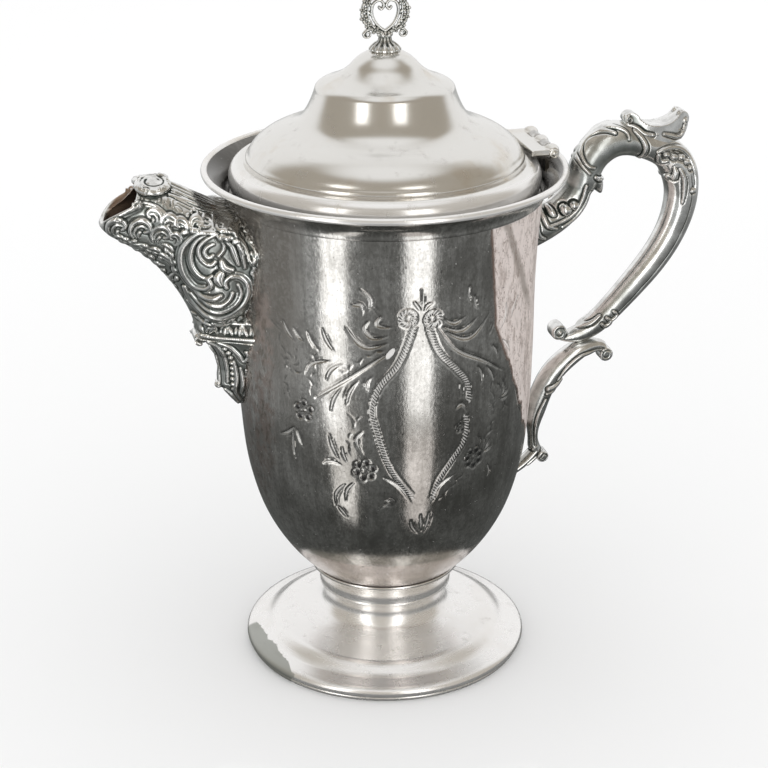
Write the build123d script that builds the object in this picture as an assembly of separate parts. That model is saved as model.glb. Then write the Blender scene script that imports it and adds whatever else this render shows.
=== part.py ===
from build123d import *
from math import cos, pi, sin
import os

# Covered chocolate pot in silver-plated metal, in millimetres.
# The origin is the middle of the foot's under side and +Z is up.
# The spout points to -X, the handle and the lid's hinge are on +X, and the XZ plane is
# the plane of symmetry.

# Driving dimensions
total_height = 270.0
gauge = 1.2
foot_radius = 57.4
foot_wire_height = 2.2
stem_radius = 23.5
collar_bottom = 27.2
bowl_bottom = 36.6
bowl_radius = 58.1
neck_height = 192.0
neck_radius = 60.3
rim_radius = 69.9
rim_wire_radius = 1.3
rim_height = 201.9
lid_seat_height = 192.4
lid_gap = 0.3
lid_radius = 59.5
lid_top = 246.4
hinge_x = 62.0
hinge_z = 207.0
hinge_half_length = 16.0
knuckle_radius = 2.3
knuckle_count = 5
knuckle_gap = 0.2
pin_radius = 1.0
pin_clearance = 0.05
stud_radius = 1.5
spout_wall = 1.5
pour_width = 30.0
pour_low = 150.0
pour_high = 184.0
volute_radius = 5.9
volute_lean = 14
volute_middle = (-89.0, -3.7, 202.0)
volute_thickness = 3.2
volute_eye_thickness = 4.4


def upright(sketch):
    """Stands a flat sketch up, so that its x is the pot's X and its y the pot's Z."""
    return Plane.XZ * sketch


def run(*points):
    """A straight edge through two points, or a smooth one through more."""
    if len(points) == 2:
        return Line(*points)
    return Spline(*points)


def outline(*edges):
    """The closed face inside edges that meet end to end."""
    return make_face(list(edges))


def turned(*edges):
    """A body of revolution about the pot's axis, from its half outline."""
    return revolve(upright(outline(*edges)), Axis.Z)


def inner_points(points, depth):
    """Points one gauge inside a smooth outline that is drawn upwards."""
    curve = Spline(*points)
    count = 2 * len(points)
    shifted = []
    for step in range(count + 1):
        place = curve @ (step / count)
        along = curve % (step / count)
        shifted.append(place + Vector(-along.Y, along.X) * depth)
    return shifted


def extruded(sketch, half_width):
    """An upright sketch given an equal depth on both sides of the XZ plane."""
    return extrude(upright(sketch), amount=half_width, both=True)


def across(radius, low_y, high_y, x, z):
    """A round bar that lies along Y."""
    bar = Cylinder(radius, high_y - low_y, align=(Align.CENTER, Align.CENTER, Align.MIN))
    return Pos(x, high_y, z) * Rot(90, 0, 0) * bar


# Vessel: one raised sheet with its own floor, a flared rim and a wire on the edge
bowl_curve = [
    (32.2, 37.0),
    (37.4, 42.5),
    (42.9, 50.0),
    (49.1, 62.0),
    (54.3, 80.0),
    (57.3, 105.0),
    (bowl_radius, 130.0),
    (58.3, 160.0),
    (59.0, 176.0),
    (neck_radius, neck_height),
]
flare_curve = [
    (neck_radius + 0.4, neck_height),
    (61.3, 194.8),
    (63.2, 197.7),
    (65.7, 199.9),
    (rim_radius - rim_wire_radius, rim_height - 0.4),
]


def vessel_sheet():
    inside = inner_points(bowl_curve, gauge)
    inside[-1] = Vector(neck_radius - gauge, neck_height)
    floor_corner = (bowl_curve[0][0] - 0.8, bowl_bottom)
    inner_corner = (inside[0].X, bowl_bottom + gauge)
    return turned(
        run((0, bowl_bottom), floor_corner),
        run(floor_corner, bowl_curve[0]),
        run(*bowl_curve),
        run(bowl_curve[-1], inside[-1]),
        run(*inside[::-1]),
        run(inside[0], inner_corner),
        run(inner_corner, (0, bowl_bottom + gauge)),
        run((0, bowl_bottom + gauge), (0, bowl_bottom)),
    )


def vessel_solid():
    """The vessel filled in up to its rim, used to trim what is soldered to its wall."""
    top = rim_height + 2.0
    return turned(
        run((0, bowl_bottom), (bowl_curve[0][0] - 0.8, bowl_bottom)),
        run((bowl_curve[0][0] - 0.8, bowl_bottom), bowl_curve[0]),
        run(*bowl_curve),
        run(bowl_curve[-1], flare_curve[0]),
        run(*flare_curve),
        run(flare_curve[-1], (flare_curve[-1][0], top)),
        run((flare_curve[-1][0], top), (0, top)),
        run((0, top), (0, bowl_bottom)),
    )


def flare_sheet():
    inside = inner_points(flare_curve, gauge)
    inside[0] = Vector(flare_curve[0][0] - gauge, neck_height)
    return turned(
        run(*flare_curve),
        run(flare_curve[-1], inside[-1]),
        run(*inside[::-1]),
        run(inside[0], flare_curve[0]),
    )


def ring_wire():
    middle = rim_radius - rim_wire_radius
    section = Pos(middle, rim_height) * Circle(rim_wire_radius)
    return revolve(upright(section), Axis.Z)


def flat_ring(inner, outer, low, high):
    return turned(
        run((inner, low), (outer, low)),
        run((outer, low), (outer, high)),
        run((outer, high), (inner, high)),
        run((inner, high), (inner, low)),
    )


def pouring_hole():
    """Arched hole through the wall, behind the spout."""
    middle = (pour_low + pour_high) / 2
    shape = RectangleRounded(pour_width, pour_high - pour_low, 10)
    hole = extrude(Plane.YZ * shape, amount=-30)
    return Pos(-45, 0, middle) * hole


bowl = vessel_solid()
rim_wire = ring_wire()
flared_rim = flare_sheet() - rim_wire
body_shell = vessel_sheet() - pouring_hole()
lid_seat_ring = flat_ring(55.7, neck_radius - 0.6, lid_seat_height - 1.4, lid_seat_height)
lid_seat_ring = lid_seat_ring - vessel_sheet() - flared_rim


# Foot: a collar under the bowl, a spun pedestal and a wire that the pot stands on
collar_top = bowl_bottom
collar_curve = [
    (29.9, collar_bottom + 1.9),
    (30.0, 31.0),
    (30.6, 33.4),
]
cove_curve = [
    (41.0, 11.3),
    (36.0, 12.2),
    (30.0, 13.6),
    (25.7, 16.2),
    (23.8, 19.4),
    (stem_radius, 22.6),
    (24.4, 25.2),
]
flange_curve = [
    (50.5, 8.0),
    (46.0, 10.0),
    (41.0, 11.3),
]
edge_curve = [
    (foot_radius - 0.5, foot_wire_height),
    (foot_radius, 3.4),
    (57.0, 4.7),
    (55.6, 5.6),
    (53.4, 6.3),
    (50.8, 7.5),
]
foot_inside = [
    (55.7, foot_wire_height),
    (55.0, 3.8),
    (50.0, 6.4),
    (44.0, 9.2),
    (36.0, 11.0),
    (29.4, 12.5),
    (24.6, 15.3),
    (22.5, 19.2),
    (stem_radius - gauge, 22.6),
    (23.0, 25.0),
]


def collar():
    top_bead = (31.4, collar_top)
    return turned(
        run((26.8, collar_bottom), (29.6, collar_bottom)),
        ThreePointArc((29.6, collar_bottom), (30.3, collar_bottom + 1.0), collar_curve[0]),
        run(*collar_curve),
        ThreePointArc(collar_curve[-1], (31.7, 34.9), top_bead),
        run(top_bead, (26.8, collar_top)),
        run((26.8, collar_top), (26.8, collar_bottom)),
    )


def pedestal():
    flange_low = (28.2, collar_bottom - gauge)
    flange_high = (28.2, collar_bottom)
    return turned(
        run(foot_inside[0], edge_curve[0]),
        run(*edge_curve),
        run(edge_curve[-1], flange_curve[0]),
        run(*flange_curve),
        run(*cove_curve),
        run(cove_curve[-1], flange_low),
        run(flange_low, flange_high),
        run(flange_high, (0, collar_bottom)),
        run((0, collar_bottom), (0, collar_bottom - gauge)),
        run((0, collar_bottom - gauge), (23.0, collar_bottom - gauge)),
        run((23.0, collar_bottom - gauge), foot_inside[-1]),
        run(*foot_inside[::-1]),
    )


foot_collar = collar()
pedestal_foot = pedestal()
foot_edge_wire = turned(
    run((foot_radius - 4.2, 0), (foot_radius - 1.8, 0)),
    ThreePointArc(
        (foot_radius - 1.8, 0),
        (foot_radius - 1.0, foot_wire_height / 2),
        (foot_radius - 1.8, foot_wire_height),
    ),
    run((foot_radius - 1.8, foot_wire_height), (foot_radius - 4.2, foot_wire_height)),
    run((foot_radius - 4.2, foot_wire_height), (foot_radius - 4.2, 0)),
)


# Spout: a hollow casting, lofted through sections that fan from the wall to the lip.
# Each section is (keel x, z), (ridge x, z), the shoulder's height along that line as a
# share of it, the shoulder's half width and the keel's half width.
spout_sections = [
    ((-51.0, 140.8), (-51.0, 190.4), 0.915, 26.6, 17.5),
    ((-66.0, 140.8), (-61.0, 191.2), 0.900, 22.8, 12.0),
    ((-75.2, 143.0), (-67.5, 193.0), 0.875, 20.4, 7.0),
    ((-77.2, 151.0), (-73.5, 196.4), 0.800, 18.0, 5.6),
    ((-80.9, 158.5), (-79.5, 200.0), 0.735, 15.7, 5.2),
    ((-86.3, 166.7), (-85.5, 202.8), 0.655, 13.5, 5.0),
    ((-92.6, 173.6), (-91.2, 203.4), 0.600, 11.3, 4.8),
    ((-99.6, 178.8), (-96.6, 200.6), 0.620, 9.2, 4.4),
    ((-105.6, 182.9), (-102.4, 196.4), 0.640, 7.2, 3.8),
    ((-109.2, 187.2), (-107.4, 193.0), 0.500, 3.6, 2.4),
]


def spout_section(keel, ridge, shoulder, half_width, keel_width, wall):
    """One closed section, drawn wall millimetres inside the casting's skin."""
    low = Vector(keel[0], 0, keel[1])
    high = Vector(ridge[0], 0, ridge[1])
    rise = (high - low).normalized()
    length = (high - low).length - 2 * wall
    normal = Vector(0, 1, 0).cross(rise)
    frame = Plane(origin=low + rise * wall, x_dir=(0, 1, 0), z_dir=normal)
    side = half_width - wall
    foot = keel_width - 0.6 * wall
    top = shoulder * length
    left_side = Spline(
        (-side, top),
        (-(side * 0.6 + foot * 0.4), top * 0.52),
        (-foot * 0.95, top * 0.13),
        (0, 0),
        (foot * 0.95, top * 0.13),
        (side * 0.6 + foot * 0.4, top * 0.52),
        (side, top),
    )
    arch = Spline(
        (side, top),
        (side * 0.62, top + 0.74 * (length - top)),
        (0, length),
        (-side * 0.62, top + 0.74 * (length - top)),
        (-side, top),
    )
    return frame * make_face([left_side, arch])


def spout_skin(wall):
    return loft([spout_section(*section, wall) for section in spout_sections])


def mouth_cutter():
    """What is taken off the loft to leave the open, scooped lip."""
    return extruded(
        outline(
            run((-92.5, 207.0), (-94.8, 201.2)),
            run((-94.8, 201.2), (-96.4, 197.0), (-99.6, 194.0), (-103.9, 191.6)),
            run((-103.9, 191.6), (-106.6, 189.6), (-110.5, 188.0)),
            run((-110.5, 188.0), (-112.0, 207.0)),
            run((-112.0, 207.0), (-92.5, 207.0)),
        ),
        14,
    )


def volutes():
    """The pair of rolled scrolls on top of the spout, leaning outwards behind the lip."""
    eye = Cylinder(volute_radius * 0.35, volute_eye_thickness)
    drum = Cylinder(volute_radius, volute_thickness) + eye
    near = Pos(*volute_middle) * Rot(volute_lean, 0, 0) * drum
    return near + mirror(near, Plane.XZ)


def drop_section(z, front, front_width, back_width):
    """Level section of the drop under the spout: blunt in front, wide at the wall."""
    return Plane.XY.offset(z) * make_face(
        Polyline(
            (-50, -back_width),
            (-front + 2.0, -front_width),
            (-front, -front_width * 0.45),
            (-front, front_width * 0.45),
            (-front + 2.0, front_width),
            (-50, back_width),
            (-50, -back_width),
        )
    )


# Height, reach from the axis, half width in front and half width at x = -50
drop_levels = [
    (140.7, 75.4, 6.4, 19.0),
    (137.0, 70.8, 5.8, 18.0),
    (132.0, 67.9, 5.0, 16.4),
    (126.0, 66.7, 4.2, 14.2),
    (119.5, 66.9, 3.4, 11.6),
    (115.0, 63.2, 2.8, 9.2),
    (110.2, 59.3, 1.8, 6.0),
]


def spout_drop_piece():
    bracket = loft([drop_section(*level) for level in drop_levels], ruled=True)
    top_curl = across(1.5, -6.0, 6.0, -74.4, 139.6)
    low_ball = Pos(-66.6, 0, 119.0) * Sphere(1.7)
    return bracket + top_curl + low_ball


spout_outside = spout_skin(0)
spout = spout_outside - mouth_cutter() + volutes() - spout_skin(spout_wall) - bowl
spout_drop = spout_drop_piece() - spout_outside - bowl


# Handle: a C scroll on a leafy root, its thumb rest, and the bracket under it
def oval_station(x, z, heading, half_thick, half_wide):
    """Oval section of a scroll that runs in the XZ plane; heading in degrees from +X."""
    along = Vector(cos(heading * pi / 180), 0, sin(heading * pi / 180))
    plane = Plane(origin=(x, 0, z), x_dir=(0, 1, 0), z_dir=along)
    return plane * Ellipse(half_wide, half_thick)


# x, z, heading, half thickness in the XZ plane, half width along Y
root_stations = [
    (54.0, 173.0, 8, 10.4, 8.4),
    (61.5, 174.2, 14, 8.2, 7.4),
    (67.5, 176.4, 30, 7.0, 6.8),
    (73.6, 181.0, 48, 6.4, 6.2),
    (78.0, 187.8, 66, 5.6, 5.8),
]
scroll_stations = [
    (78.0, 187.8, 66, 5.6, 5.8),
    (80.8, 196.0, 68, 6.7, 6.6),
    (85.4, 203.0, 46, 7.2, 7.0),
    (92.8, 206.6, 10, 7.2, 7.0),
    (102.6, 204.4, -22, 5.9, 6.4),
    (111.8, 200.9, -28, 6.3, 6.6),
    (118.2, 194.8, -60, 7.1, 7.0),
    (121.2, 185.0, -85, 6.9, 6.8),
    (120.4, 175.5, -101, 6.5, 6.3),
    (117.4, 166.6, -114, 6.1, 5.9),
    (111.6, 156.6, -124, 5.8, 5.6),
    (102.8, 145.8, -131, 5.4, 5.2),
    (93.6, 135.9, -135, 4.9, 4.8),
    (84.6, 128.2, -146, 4.2, 4.4),
    (77.4, 125.6, -166, 2.8, 3.8),
    (72.4, 125.8, -188, 1.4, 3.2),
]
bracket_stations = [
    (92.0, 119.4, 176, 2.0, 2.7),
    (87.6, 120.9, 184, 2.5, 3.4),
    (81.6, 119.5, 200, 3.8, 4.5),
    (75.0, 115.2, 212, 4.4, 4.8),
    (69.4, 109.4, 234, 4.5, 4.8),
    (65.6, 102.2, 247, 4.4, 4.6),
    (63.2, 94.6, 256, 4.2, 4.2),
    (62.4, 87.4, 268, 2.6, 3.6),
    (62.7, 80.6, 276, 2.1, 3.2),
    (64.8, 75.8, 310, 2.1, 3.2),
]


def scroll_end(x, z, radius, half_width):
    """Rolled end of a scroll: a drum with bevelled edges, a dished side and a raised eye."""
    dish = half_width * 0.76
    half = outline(
        run((0, 0), (radius, 0)),
        run((radius, 0), (radius, dish)),
        run((radius, dish), (radius * 0.85, half_width)),
        run((radius * 0.85, half_width), (radius * 0.66, dish)),
        run((radius * 0.66, dish), (radius * 0.42, dish)),
        run((radius * 0.42, dish), (radius * 0.25, half_width)),
        run((radius * 0.25, half_width), (0, half_width)),
        run((0, half_width), (0, 0)),
    )
    side = revolve(half, Axis.Y)
    return Pos(x, 0, z) * (side + mirror(side, Plane.XZ))


def handle_piece():
    root = loft([oval_station(*station) for station in root_stations])
    scroll = loft([oval_station(*station) for station in scroll_stations])
    spur = loft(
        [
            oval_station(84.2, 191.6, -70, 3.2, 4.6),
            oval_station(86.2, 187.6, -64, 2.0, 3.0),
            oval_station(87.4, 185.0, -62, 0.5, 0.9),
        ]
    )
    return root + scroll + spur + scroll_end(71.4, 128.4, 3.2, 3.9)


def thumb_piece():
    """Leaf that curls up in front and behind, cut to a leaf's outline from above."""
    profile = outline(
        run((95.4, 214.2), (96.4, 216.7), (98.8, 216.9), (100.9, 214.8)),
        run((100.9, 214.8), (104.4, 212.4), (109.2, 211.8), (114.0, 213.0), (117.2, 215.8)),
        run((117.2, 215.8), (119.2, 216.6), (121.4, 214.8), (121.4, 211.8)),
        run((121.4, 211.8), (120.6, 208.6), (118.4, 205.6)),
        run((118.4, 205.6), (108.0, 203.6)),
        run((108.0, 203.6), (97.0, 208.0)),
        run((97.0, 208.0), (95.4, 214.2)),
    )
    leaf_side = run((94.0, 3.2), (99.0, 5.4), (105.0, 7.6), (112.0, 8.2), (118.0, 6.4), (122.4, 3.6))
    leaf = make_face(
        [
            leaf_side,
            run((122.4, 3.6), (122.4, -3.6)),
            mirror(leaf_side, Plane.XZ),
            run((94.0, -3.2), (94.0, 3.2)),
        ]
    )
    blade = extruded(profile, 9) & extrude(Plane.XY.offset(200) * leaf, amount=20)
    front_roll = across(2.2, -4.6, 4.6, 97.6, 214.6)
    rear_roll = across(2.1, -5.2, 5.2, 119.1, 214.4)
    return blade + front_roll + rear_roll


def bracket_piece():
    arm = loft([oval_station(*station) for station in bracket_stations])
    toe = loft(
        [
            oval_station(64.2, 77.0, 235, 2.2, 3.2),
            oval_station(58.6, 71.6, 222, 2.0, 3.4),
            oval_station(50.0, 66.0, 214, 1.5, 2.6),
        ]
    )
    curl = scroll_end(66.2, 74.2, 2.5, 3.6)
    return arm + toe + curl + scroll_end(92.0, 116.8, 2.9, 3.2)


handle = handle_piece() - bowl - rim_wire
thumb_rest = thumb_piece() - handle
handle_bracket = bracket_piece() - handle - bowl


# Lid: one spun sheet with a stepped dome, and the flange that locates it in the neck
lid_edge = (58.2, lid_seat_height + lid_gap + 1.3)
band_curve = [
    lid_edge,
    (59.3, 197.0),
    (lid_radius, 200.3),
    (58.3, 203.5),
    (55.8, 205.2),
    (53.2, 205.3),
]
bead_curve = [
    (52.9, 205.9),
    (53.0, 207.1),
    (52.0, 208.1),
]
dome_curve = [
    (52.0, 208.1),
    (50.0, 211.2),
    (46.4, 214.2),
    (41.8, 216.5),
    (36.4, 218.6),
    (32.2, 221.2),
    (29.9, 224.2),
    (28.0, 228.0),
    (26.5, 232.0),
]
cap_curve = [
    (25.2, 234.2),
    (21.2, 235.9),
    (17.0, 238.0),
    (13.6, 240.6),
    (11.4, 243.0),
    (8.7, 245.1),
    (5.7, lid_top),
]
lid_smooth = band_curve[:5] + [(51.6, 208.6)] + dome_curve[1:] + cap_curve


def lid_sheet():
    inside = inner_points(lid_smooth, gauge)
    inside[-1] = Vector(5.3, lid_top - gauge)
    return turned(
        run(*band_curve),
        run(band_curve[-1], bead_curve[0]),
        run(*bead_curve),
        run(*dome_curve),
        run(dome_curve[-1], cap_curve[0]),
        run(*cap_curve),
        run(cap_curve[-1], (stud_radius, lid_top)),
        run((stud_radius, lid_top), (stud_radius, lid_top - gauge)),
        run((stud_radius, lid_top - gauge), inside[-1]),
        run(*inside[::-1]),
        run(inside[0], lid_edge),
    )


def lid_solid():
    """The lid filled in, used to trim the hinge leaf that is soldered on it."""
    return turned(
        run((0, lid_edge[1]), lid_edge),
        run(*band_curve),
        run(band_curve[-1], bead_curve[0]),
        run(*bead_curve),
        run(*dome_curve),
        run(dome_curve[-1], (0, dome_curve[-1][1])),
        run((0, dome_curve[-1][1]), (0, lid_edge[1])),
    )


def bezel():
    flange_low = lid_seat_height + lid_gap
    skirt_low = flange_low - 3.4
    inner = 53.6
    outer = 54.6
    return turned(
        run((inner, skirt_low), (outer, skirt_low)),
        run((outer, skirt_low), (outer, flange_low)),
        run((outer, flange_low), (58.1, flange_low)),
        run((58.1, flange_low), (58.1, lid_edge[1])),
        run((58.1, lid_edge[1]), (inner, lid_edge[1])),
        run((inner, lid_edge[1]), (inner, skirt_low)),
    )


lid_cover = lid_sheet()
lid_bezel = bezel() - lid_cover


# Finial: gadrooned base and flower wreath, held by a stud, washer and nut in the lid
base_top = 252.2
stud_low = 241.0
stud_top = 250.4
washer_thickness = 0.8
nut_thickness = 2.4
nut_across_flats = 5.5
wreath_middle = 260.7
wreath_half_width = 9.6
wreath_half_height = 8.2
rosette_count = 13
rosette_radius = 1.9
gadroon_count = 12
gadroon_radius = 1.3


def finial_foot():
    """Small foot that flares out to a ring of round lobes."""
    flare = turned(
        run((0, lid_top), (5.2, lid_top)),
        run((5.2, lid_top), (5.6, 247.4)),
        run((5.6, 247.4), (4.4, 248.8)),
        run((4.4, 248.8), (2.7, 249.9)),
        run((2.7, 249.9), (2.1, base_top)),
        run((2.1, base_top), (0, base_top)),
        run((0, base_top), (0, lid_top)),
    )
    lobe = Cylinder(gadroon_radius, 1.5, align=(Align.CENTER, Align.CENTER, Align.MIN))
    for number in range(gadroon_count):
        turn = number * 360 / gadroon_count
        flare = flare + Rot(0, 0, turn) * Pos(4.9, 0, lid_top) * lobe
    return flare


def wreath():
    """Ring of flowers round a heart-shaped opening, with two scrolls at the bottom."""
    ring = Pos(0, wreath_middle) * Ellipse(wreath_half_width, wreath_half_height)
    heart_side = run((0, 254.4), (3.2, 256.2), (4.6, 259.4), (3.6, 262.6), (1.8, 263.2), (0, 261.6))
    heart = make_face([heart_side, mirror(heart_side, Plane.YZ)])
    stem = Pos(0, 252.9) * Rectangle(4.0, 2.6)
    plate = extruded(ring + stem - heart, 1.7)
    for number in range(rosette_count):
        turn = 2 * pi * (number + 0.5) / rosette_count - pi / 2
        x = (wreath_half_width - 0.8) * cos(turn)
        z = wreath_middle + (total_height - wreath_middle - rosette_radius) * sin(turn)
        plate = plate + across(rosette_radius, -2.4, 2.4, x, z)
    for side in (-1, 1):
        plate = plate + across(1.7, -2.0, 2.0, side * 5.6, 252.8)
    return plate


def hex_nut():
    nut_high = lid_top - gauge - washer_thickness
    nut_low = nut_high - nut_thickness
    corner = nut_across_flats / 2 / cos(pi / 6)
    return extrude(Plane.XY.offset(nut_low) * RegularPolygon(corner, 6), amount=nut_thickness)


finial_stud = Pos(0, 0, stud_low) * Cylinder(
    stud_radius, stud_top - stud_low, align=(Align.CENTER, Align.CENTER, Align.MIN)
)
finial_base = finial_foot() - finial_stud
finial_wreath = wreath() - finial_foot()
washer_high = lid_top - gauge
finial_washer = flat_ring(stud_radius, 4.3, washer_high - washer_thickness, washer_high)
finial_nut = hex_nut() - finial_stud


# Hinge: five knuckles, three on the lid's leaf and two on the body's, on one pin
pitch = 2 * hinge_half_length / knuckle_count


def knuckle(number, radius, trim):
    low = -hinge_half_length + number * pitch + trim
    return across(radius, low, low + pitch - 2 * trim, hinge_x, hinge_z)


def lid_leaf():
    top = hinge_z + knuckle_radius
    leaf = extruded(
        outline(
            run((48.0, 208.3), (53.0, 208.5)),
            run((53.0, 208.5), (hinge_x, top)),
            run((hinge_x, top), (hinge_x, hinge_z)),
            run((hinge_x, hinge_z), (58.6, 205.6)),
            run((58.6, 205.6), (57.0, 204.0)),
            run((57.0, 204.0), (48.0, 204.0)),
            run((48.0, 204.0), (48.0, 208.3)),
        ),
        hinge_half_length - knuckle_gap / 2,
    )
    leaf = leaf - flat_ring(0.1, 52.4, 203, 210) - lid_solid()
    for number in range(0, knuckle_count, 2):
        leaf = leaf + knuckle(number, knuckle_radius, knuckle_gap / 2)
    for number in range(1, knuckle_count, 2):
        leaf = leaf - knuckle(number, knuckle_radius + lid_gap, -knuckle_gap / 2)
    return leaf - across(pin_radius, -20, 20, hinge_x, hinge_z)


def body_leaf():
    half_width = 1.5 * pitch - knuckle_gap
    tab = extruded(
        outline(
            run((61.0, 196.5), (62.6, 196.5)),
            run((62.6, 196.5), (62.6, 204.2)),
            run((62.6, 204.2), (61.0, 204.2)),
            run((61.0, 204.2), (61.0, 196.5)),
        ),
        half_width,
    )
    web = extruded(
        outline(
            run((61.0, 204.0), (62.6, 204.0)),
            run((62.6, 204.0), (62.6, hinge_z)),
            run((62.6, hinge_z), (61.0, hinge_z)),
            run((61.0, hinge_z), (61.0, 204.0)),
        ),
        half_width,
    )
    middle = knuckle_count // 2
    leaf = tab + (web - knuckle(middle, knuckle_radius + 5, -knuckle_gap / 2))
    for number in range(1, knuckle_count, 2):
        leaf = leaf + knuckle(number, knuckle_radius, knuckle_gap / 2)
    leaf = leaf - across(pin_radius + pin_clearance, -20, 20, hinge_x, hinge_z) - flared_rim
    return leaf.solids().sort_by(SortBy.VOLUME)[-1]


def pin():
    shank = across(pin_radius, -hinge_half_length, hinge_half_length, hinge_x, hinge_z)
    for side in (-1, 1):
        inner = side * hinge_half_length
        outer = side * (hinge_half_length + 0.7)
        shank = shank + across(1.8, min(inner, outer), max(inner, outer), hinge_x, hinge_z)
    return shank


hinge_lid_leaf = lid_leaf()
hinge_body_leaf = body_leaf()
hinge_pin = pin()


pieces = {
    "body_shell": body_shell,
    "flared_rim": flared_rim,
    "rim_wire": rim_wire,
    "lid_seat_ring": lid_seat_ring,
    "foot_collar": foot_collar,
    "pedestal_foot": pedestal_foot,
    "foot_edge_wire": foot_edge_wire,
    "spout": spout,
    "spout_drop": spout_drop,
    "handle": handle,
    "thumb_rest": thumb_rest,
    "handle_bracket": handle_bracket,
    "lid_cover": lid_cover,
    "lid_bezel": lid_bezel,
    "finial_base": finial_base,
    "finial_wreath": finial_wreath,
    "finial_stud": finial_stud,
    "finial_washer": finial_washer,
    "finial_nut": finial_nut,
    "hinge_lid_leaf": hinge_lid_leaf,
    "hinge_body_leaf": hinge_body_leaf,
    "hinge_pin": hinge_pin,
}

os.makedirs("parts", exist_ok=True)
for name, piece in pieces.items():
    export_step(piece, f"parts/{name}.step")
    print(name, len(piece.solids()), round(piece.volume))
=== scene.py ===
from math import cos, pi, radians, sin, tan

import bmesh
import bpy
import numpy as np
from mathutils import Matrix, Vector


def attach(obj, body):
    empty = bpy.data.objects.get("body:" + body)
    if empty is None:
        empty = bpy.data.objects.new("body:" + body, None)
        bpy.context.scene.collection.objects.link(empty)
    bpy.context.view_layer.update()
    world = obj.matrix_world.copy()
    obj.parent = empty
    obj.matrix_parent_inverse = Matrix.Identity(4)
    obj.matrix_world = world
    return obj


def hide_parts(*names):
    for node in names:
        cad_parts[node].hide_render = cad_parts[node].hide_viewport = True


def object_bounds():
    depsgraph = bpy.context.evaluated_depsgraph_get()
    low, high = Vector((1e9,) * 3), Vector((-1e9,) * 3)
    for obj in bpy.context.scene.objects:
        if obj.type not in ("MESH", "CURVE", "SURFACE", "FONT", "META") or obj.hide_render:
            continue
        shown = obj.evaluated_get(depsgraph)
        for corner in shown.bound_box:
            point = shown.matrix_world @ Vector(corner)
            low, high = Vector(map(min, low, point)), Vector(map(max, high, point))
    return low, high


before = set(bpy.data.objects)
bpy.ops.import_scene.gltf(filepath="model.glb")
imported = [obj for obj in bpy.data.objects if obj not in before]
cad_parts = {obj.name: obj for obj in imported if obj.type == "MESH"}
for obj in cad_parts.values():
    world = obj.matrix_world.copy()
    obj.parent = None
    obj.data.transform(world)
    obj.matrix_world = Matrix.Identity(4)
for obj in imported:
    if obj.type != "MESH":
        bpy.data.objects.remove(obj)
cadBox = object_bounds()
mm = 0.001
print("frame loaded")


# Curves and grids

# smooth curve through given points: cubic Hermite spans whose end slopes are the chords
# between each point's neighbours, scaled by the span's length over the first `axes` columns
def smoothPath(points, perSpan=8, axes=2):
    p = np.asarray(points, float)
    if len(p) == 2:
        t = np.linspace(0, 1, perSpan + 1)[:, None]
        return p[0] * (1 - t) + p[1] * t
    step = np.linalg.norm(np.diff(p[:, :axes], axis=0), axis=1)
    step = np.maximum(step, 1e-6)
    slope = np.diff(p, axis=0) / step[:, None]
    weight = (step[1:] / (step[1:] + step[:-1]))[:, None]
    inner = slope[:-1] * weight + slope[1:] * (1 - weight)
    ends = np.vstack([1.5 * slope[0] - 0.5 * inner[0], inner, 1.5 * slope[-1] - 0.5 * inner[-1]])
    t = np.linspace(0, 1, perSpan, endpoint=False)[None, :, None]
    a, b = p[:-1, None], p[1:, None]
    ta, tb = ends[:-1, None] * step[:, None, None], ends[1:, None] * step[:, None, None]
    spans = (
        a * (1 + 2 * t) * (1 - t) ** 2
        + b * t * t * (3 - 2 * t)
        + ta * t * (1 - t) ** 2
        + tb * t * t * (t - 1)
    )
    return np.vstack([spans.reshape(-1, p.shape[1]), p[-1:]])


# the same path with points a steady distance apart, measured over its first `axes` columns
def evenPath(path, spacing, axes=2):
    steps = np.linalg.norm(np.diff(path[:, :axes], axis=0), axis=1)
    along = np.concatenate([[0], np.cumsum(steps)])
    count = max(2, int(round(along[-1] / spacing)) + 1)
    wanted = np.linspace(0, along[-1], count)
    return np.column_stack([np.interp(wanted, along, path[:, i]) for i in range(path.shape[1])])


# several runs joined end to end, each straight (two points) or smooth, evenly spaced, with
# the corners eased by a moving average over `ease` mm
def profile(runs, spacing=0.5, ease=0.0):
    pieces = [smoothPath(run, 10) for run in runs]
    line = np.vstack([pieces[0]] + [piece[1:] for piece in pieces[1:]])
    line = evenPath(line, spacing if not ease else min(spacing, ease / 3))
    if ease:
        reach = max(1, int(round(ease / min(spacing, ease / 3) / 2)))
        padded = np.vstack([line[:1]] * reach + [line] + [line[-1:]] * reach)
        kernel = np.ones(2 * reach + 1) / (2 * reach + 1)
        line = np.column_stack([np.convolve(padded[:, i], kernel, "valid") for i in range(2)])
    return evenPath(line, spacing)


# offset of an open line to its left by `depth`
def offsetLine(line, depth):
    slope = np.gradient(line, axis=0)
    slope /= np.linalg.norm(slope, axis=1)[:, None]
    return line + np.column_stack([-slope[:, 1], slope[:, 0]]) * depth


# quads of a grid of rows by columns, wrapped round in either direction
def gridFaces(rows, cols, wrapRows=False, wrapCols=False):
    r = np.arange(rows if wrapRows else rows - 1)
    c = np.arange(cols if wrapCols else cols - 1)
    r, c = np.meshgrid(r, c, indexing="ij")
    nr, nc = (r + 1) % rows, (c + 1) % cols
    return np.stack([r * cols + c, r * cols + nc, nr * cols + nc, nr * cols + c], -1).reshape(-1, 4)


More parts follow.
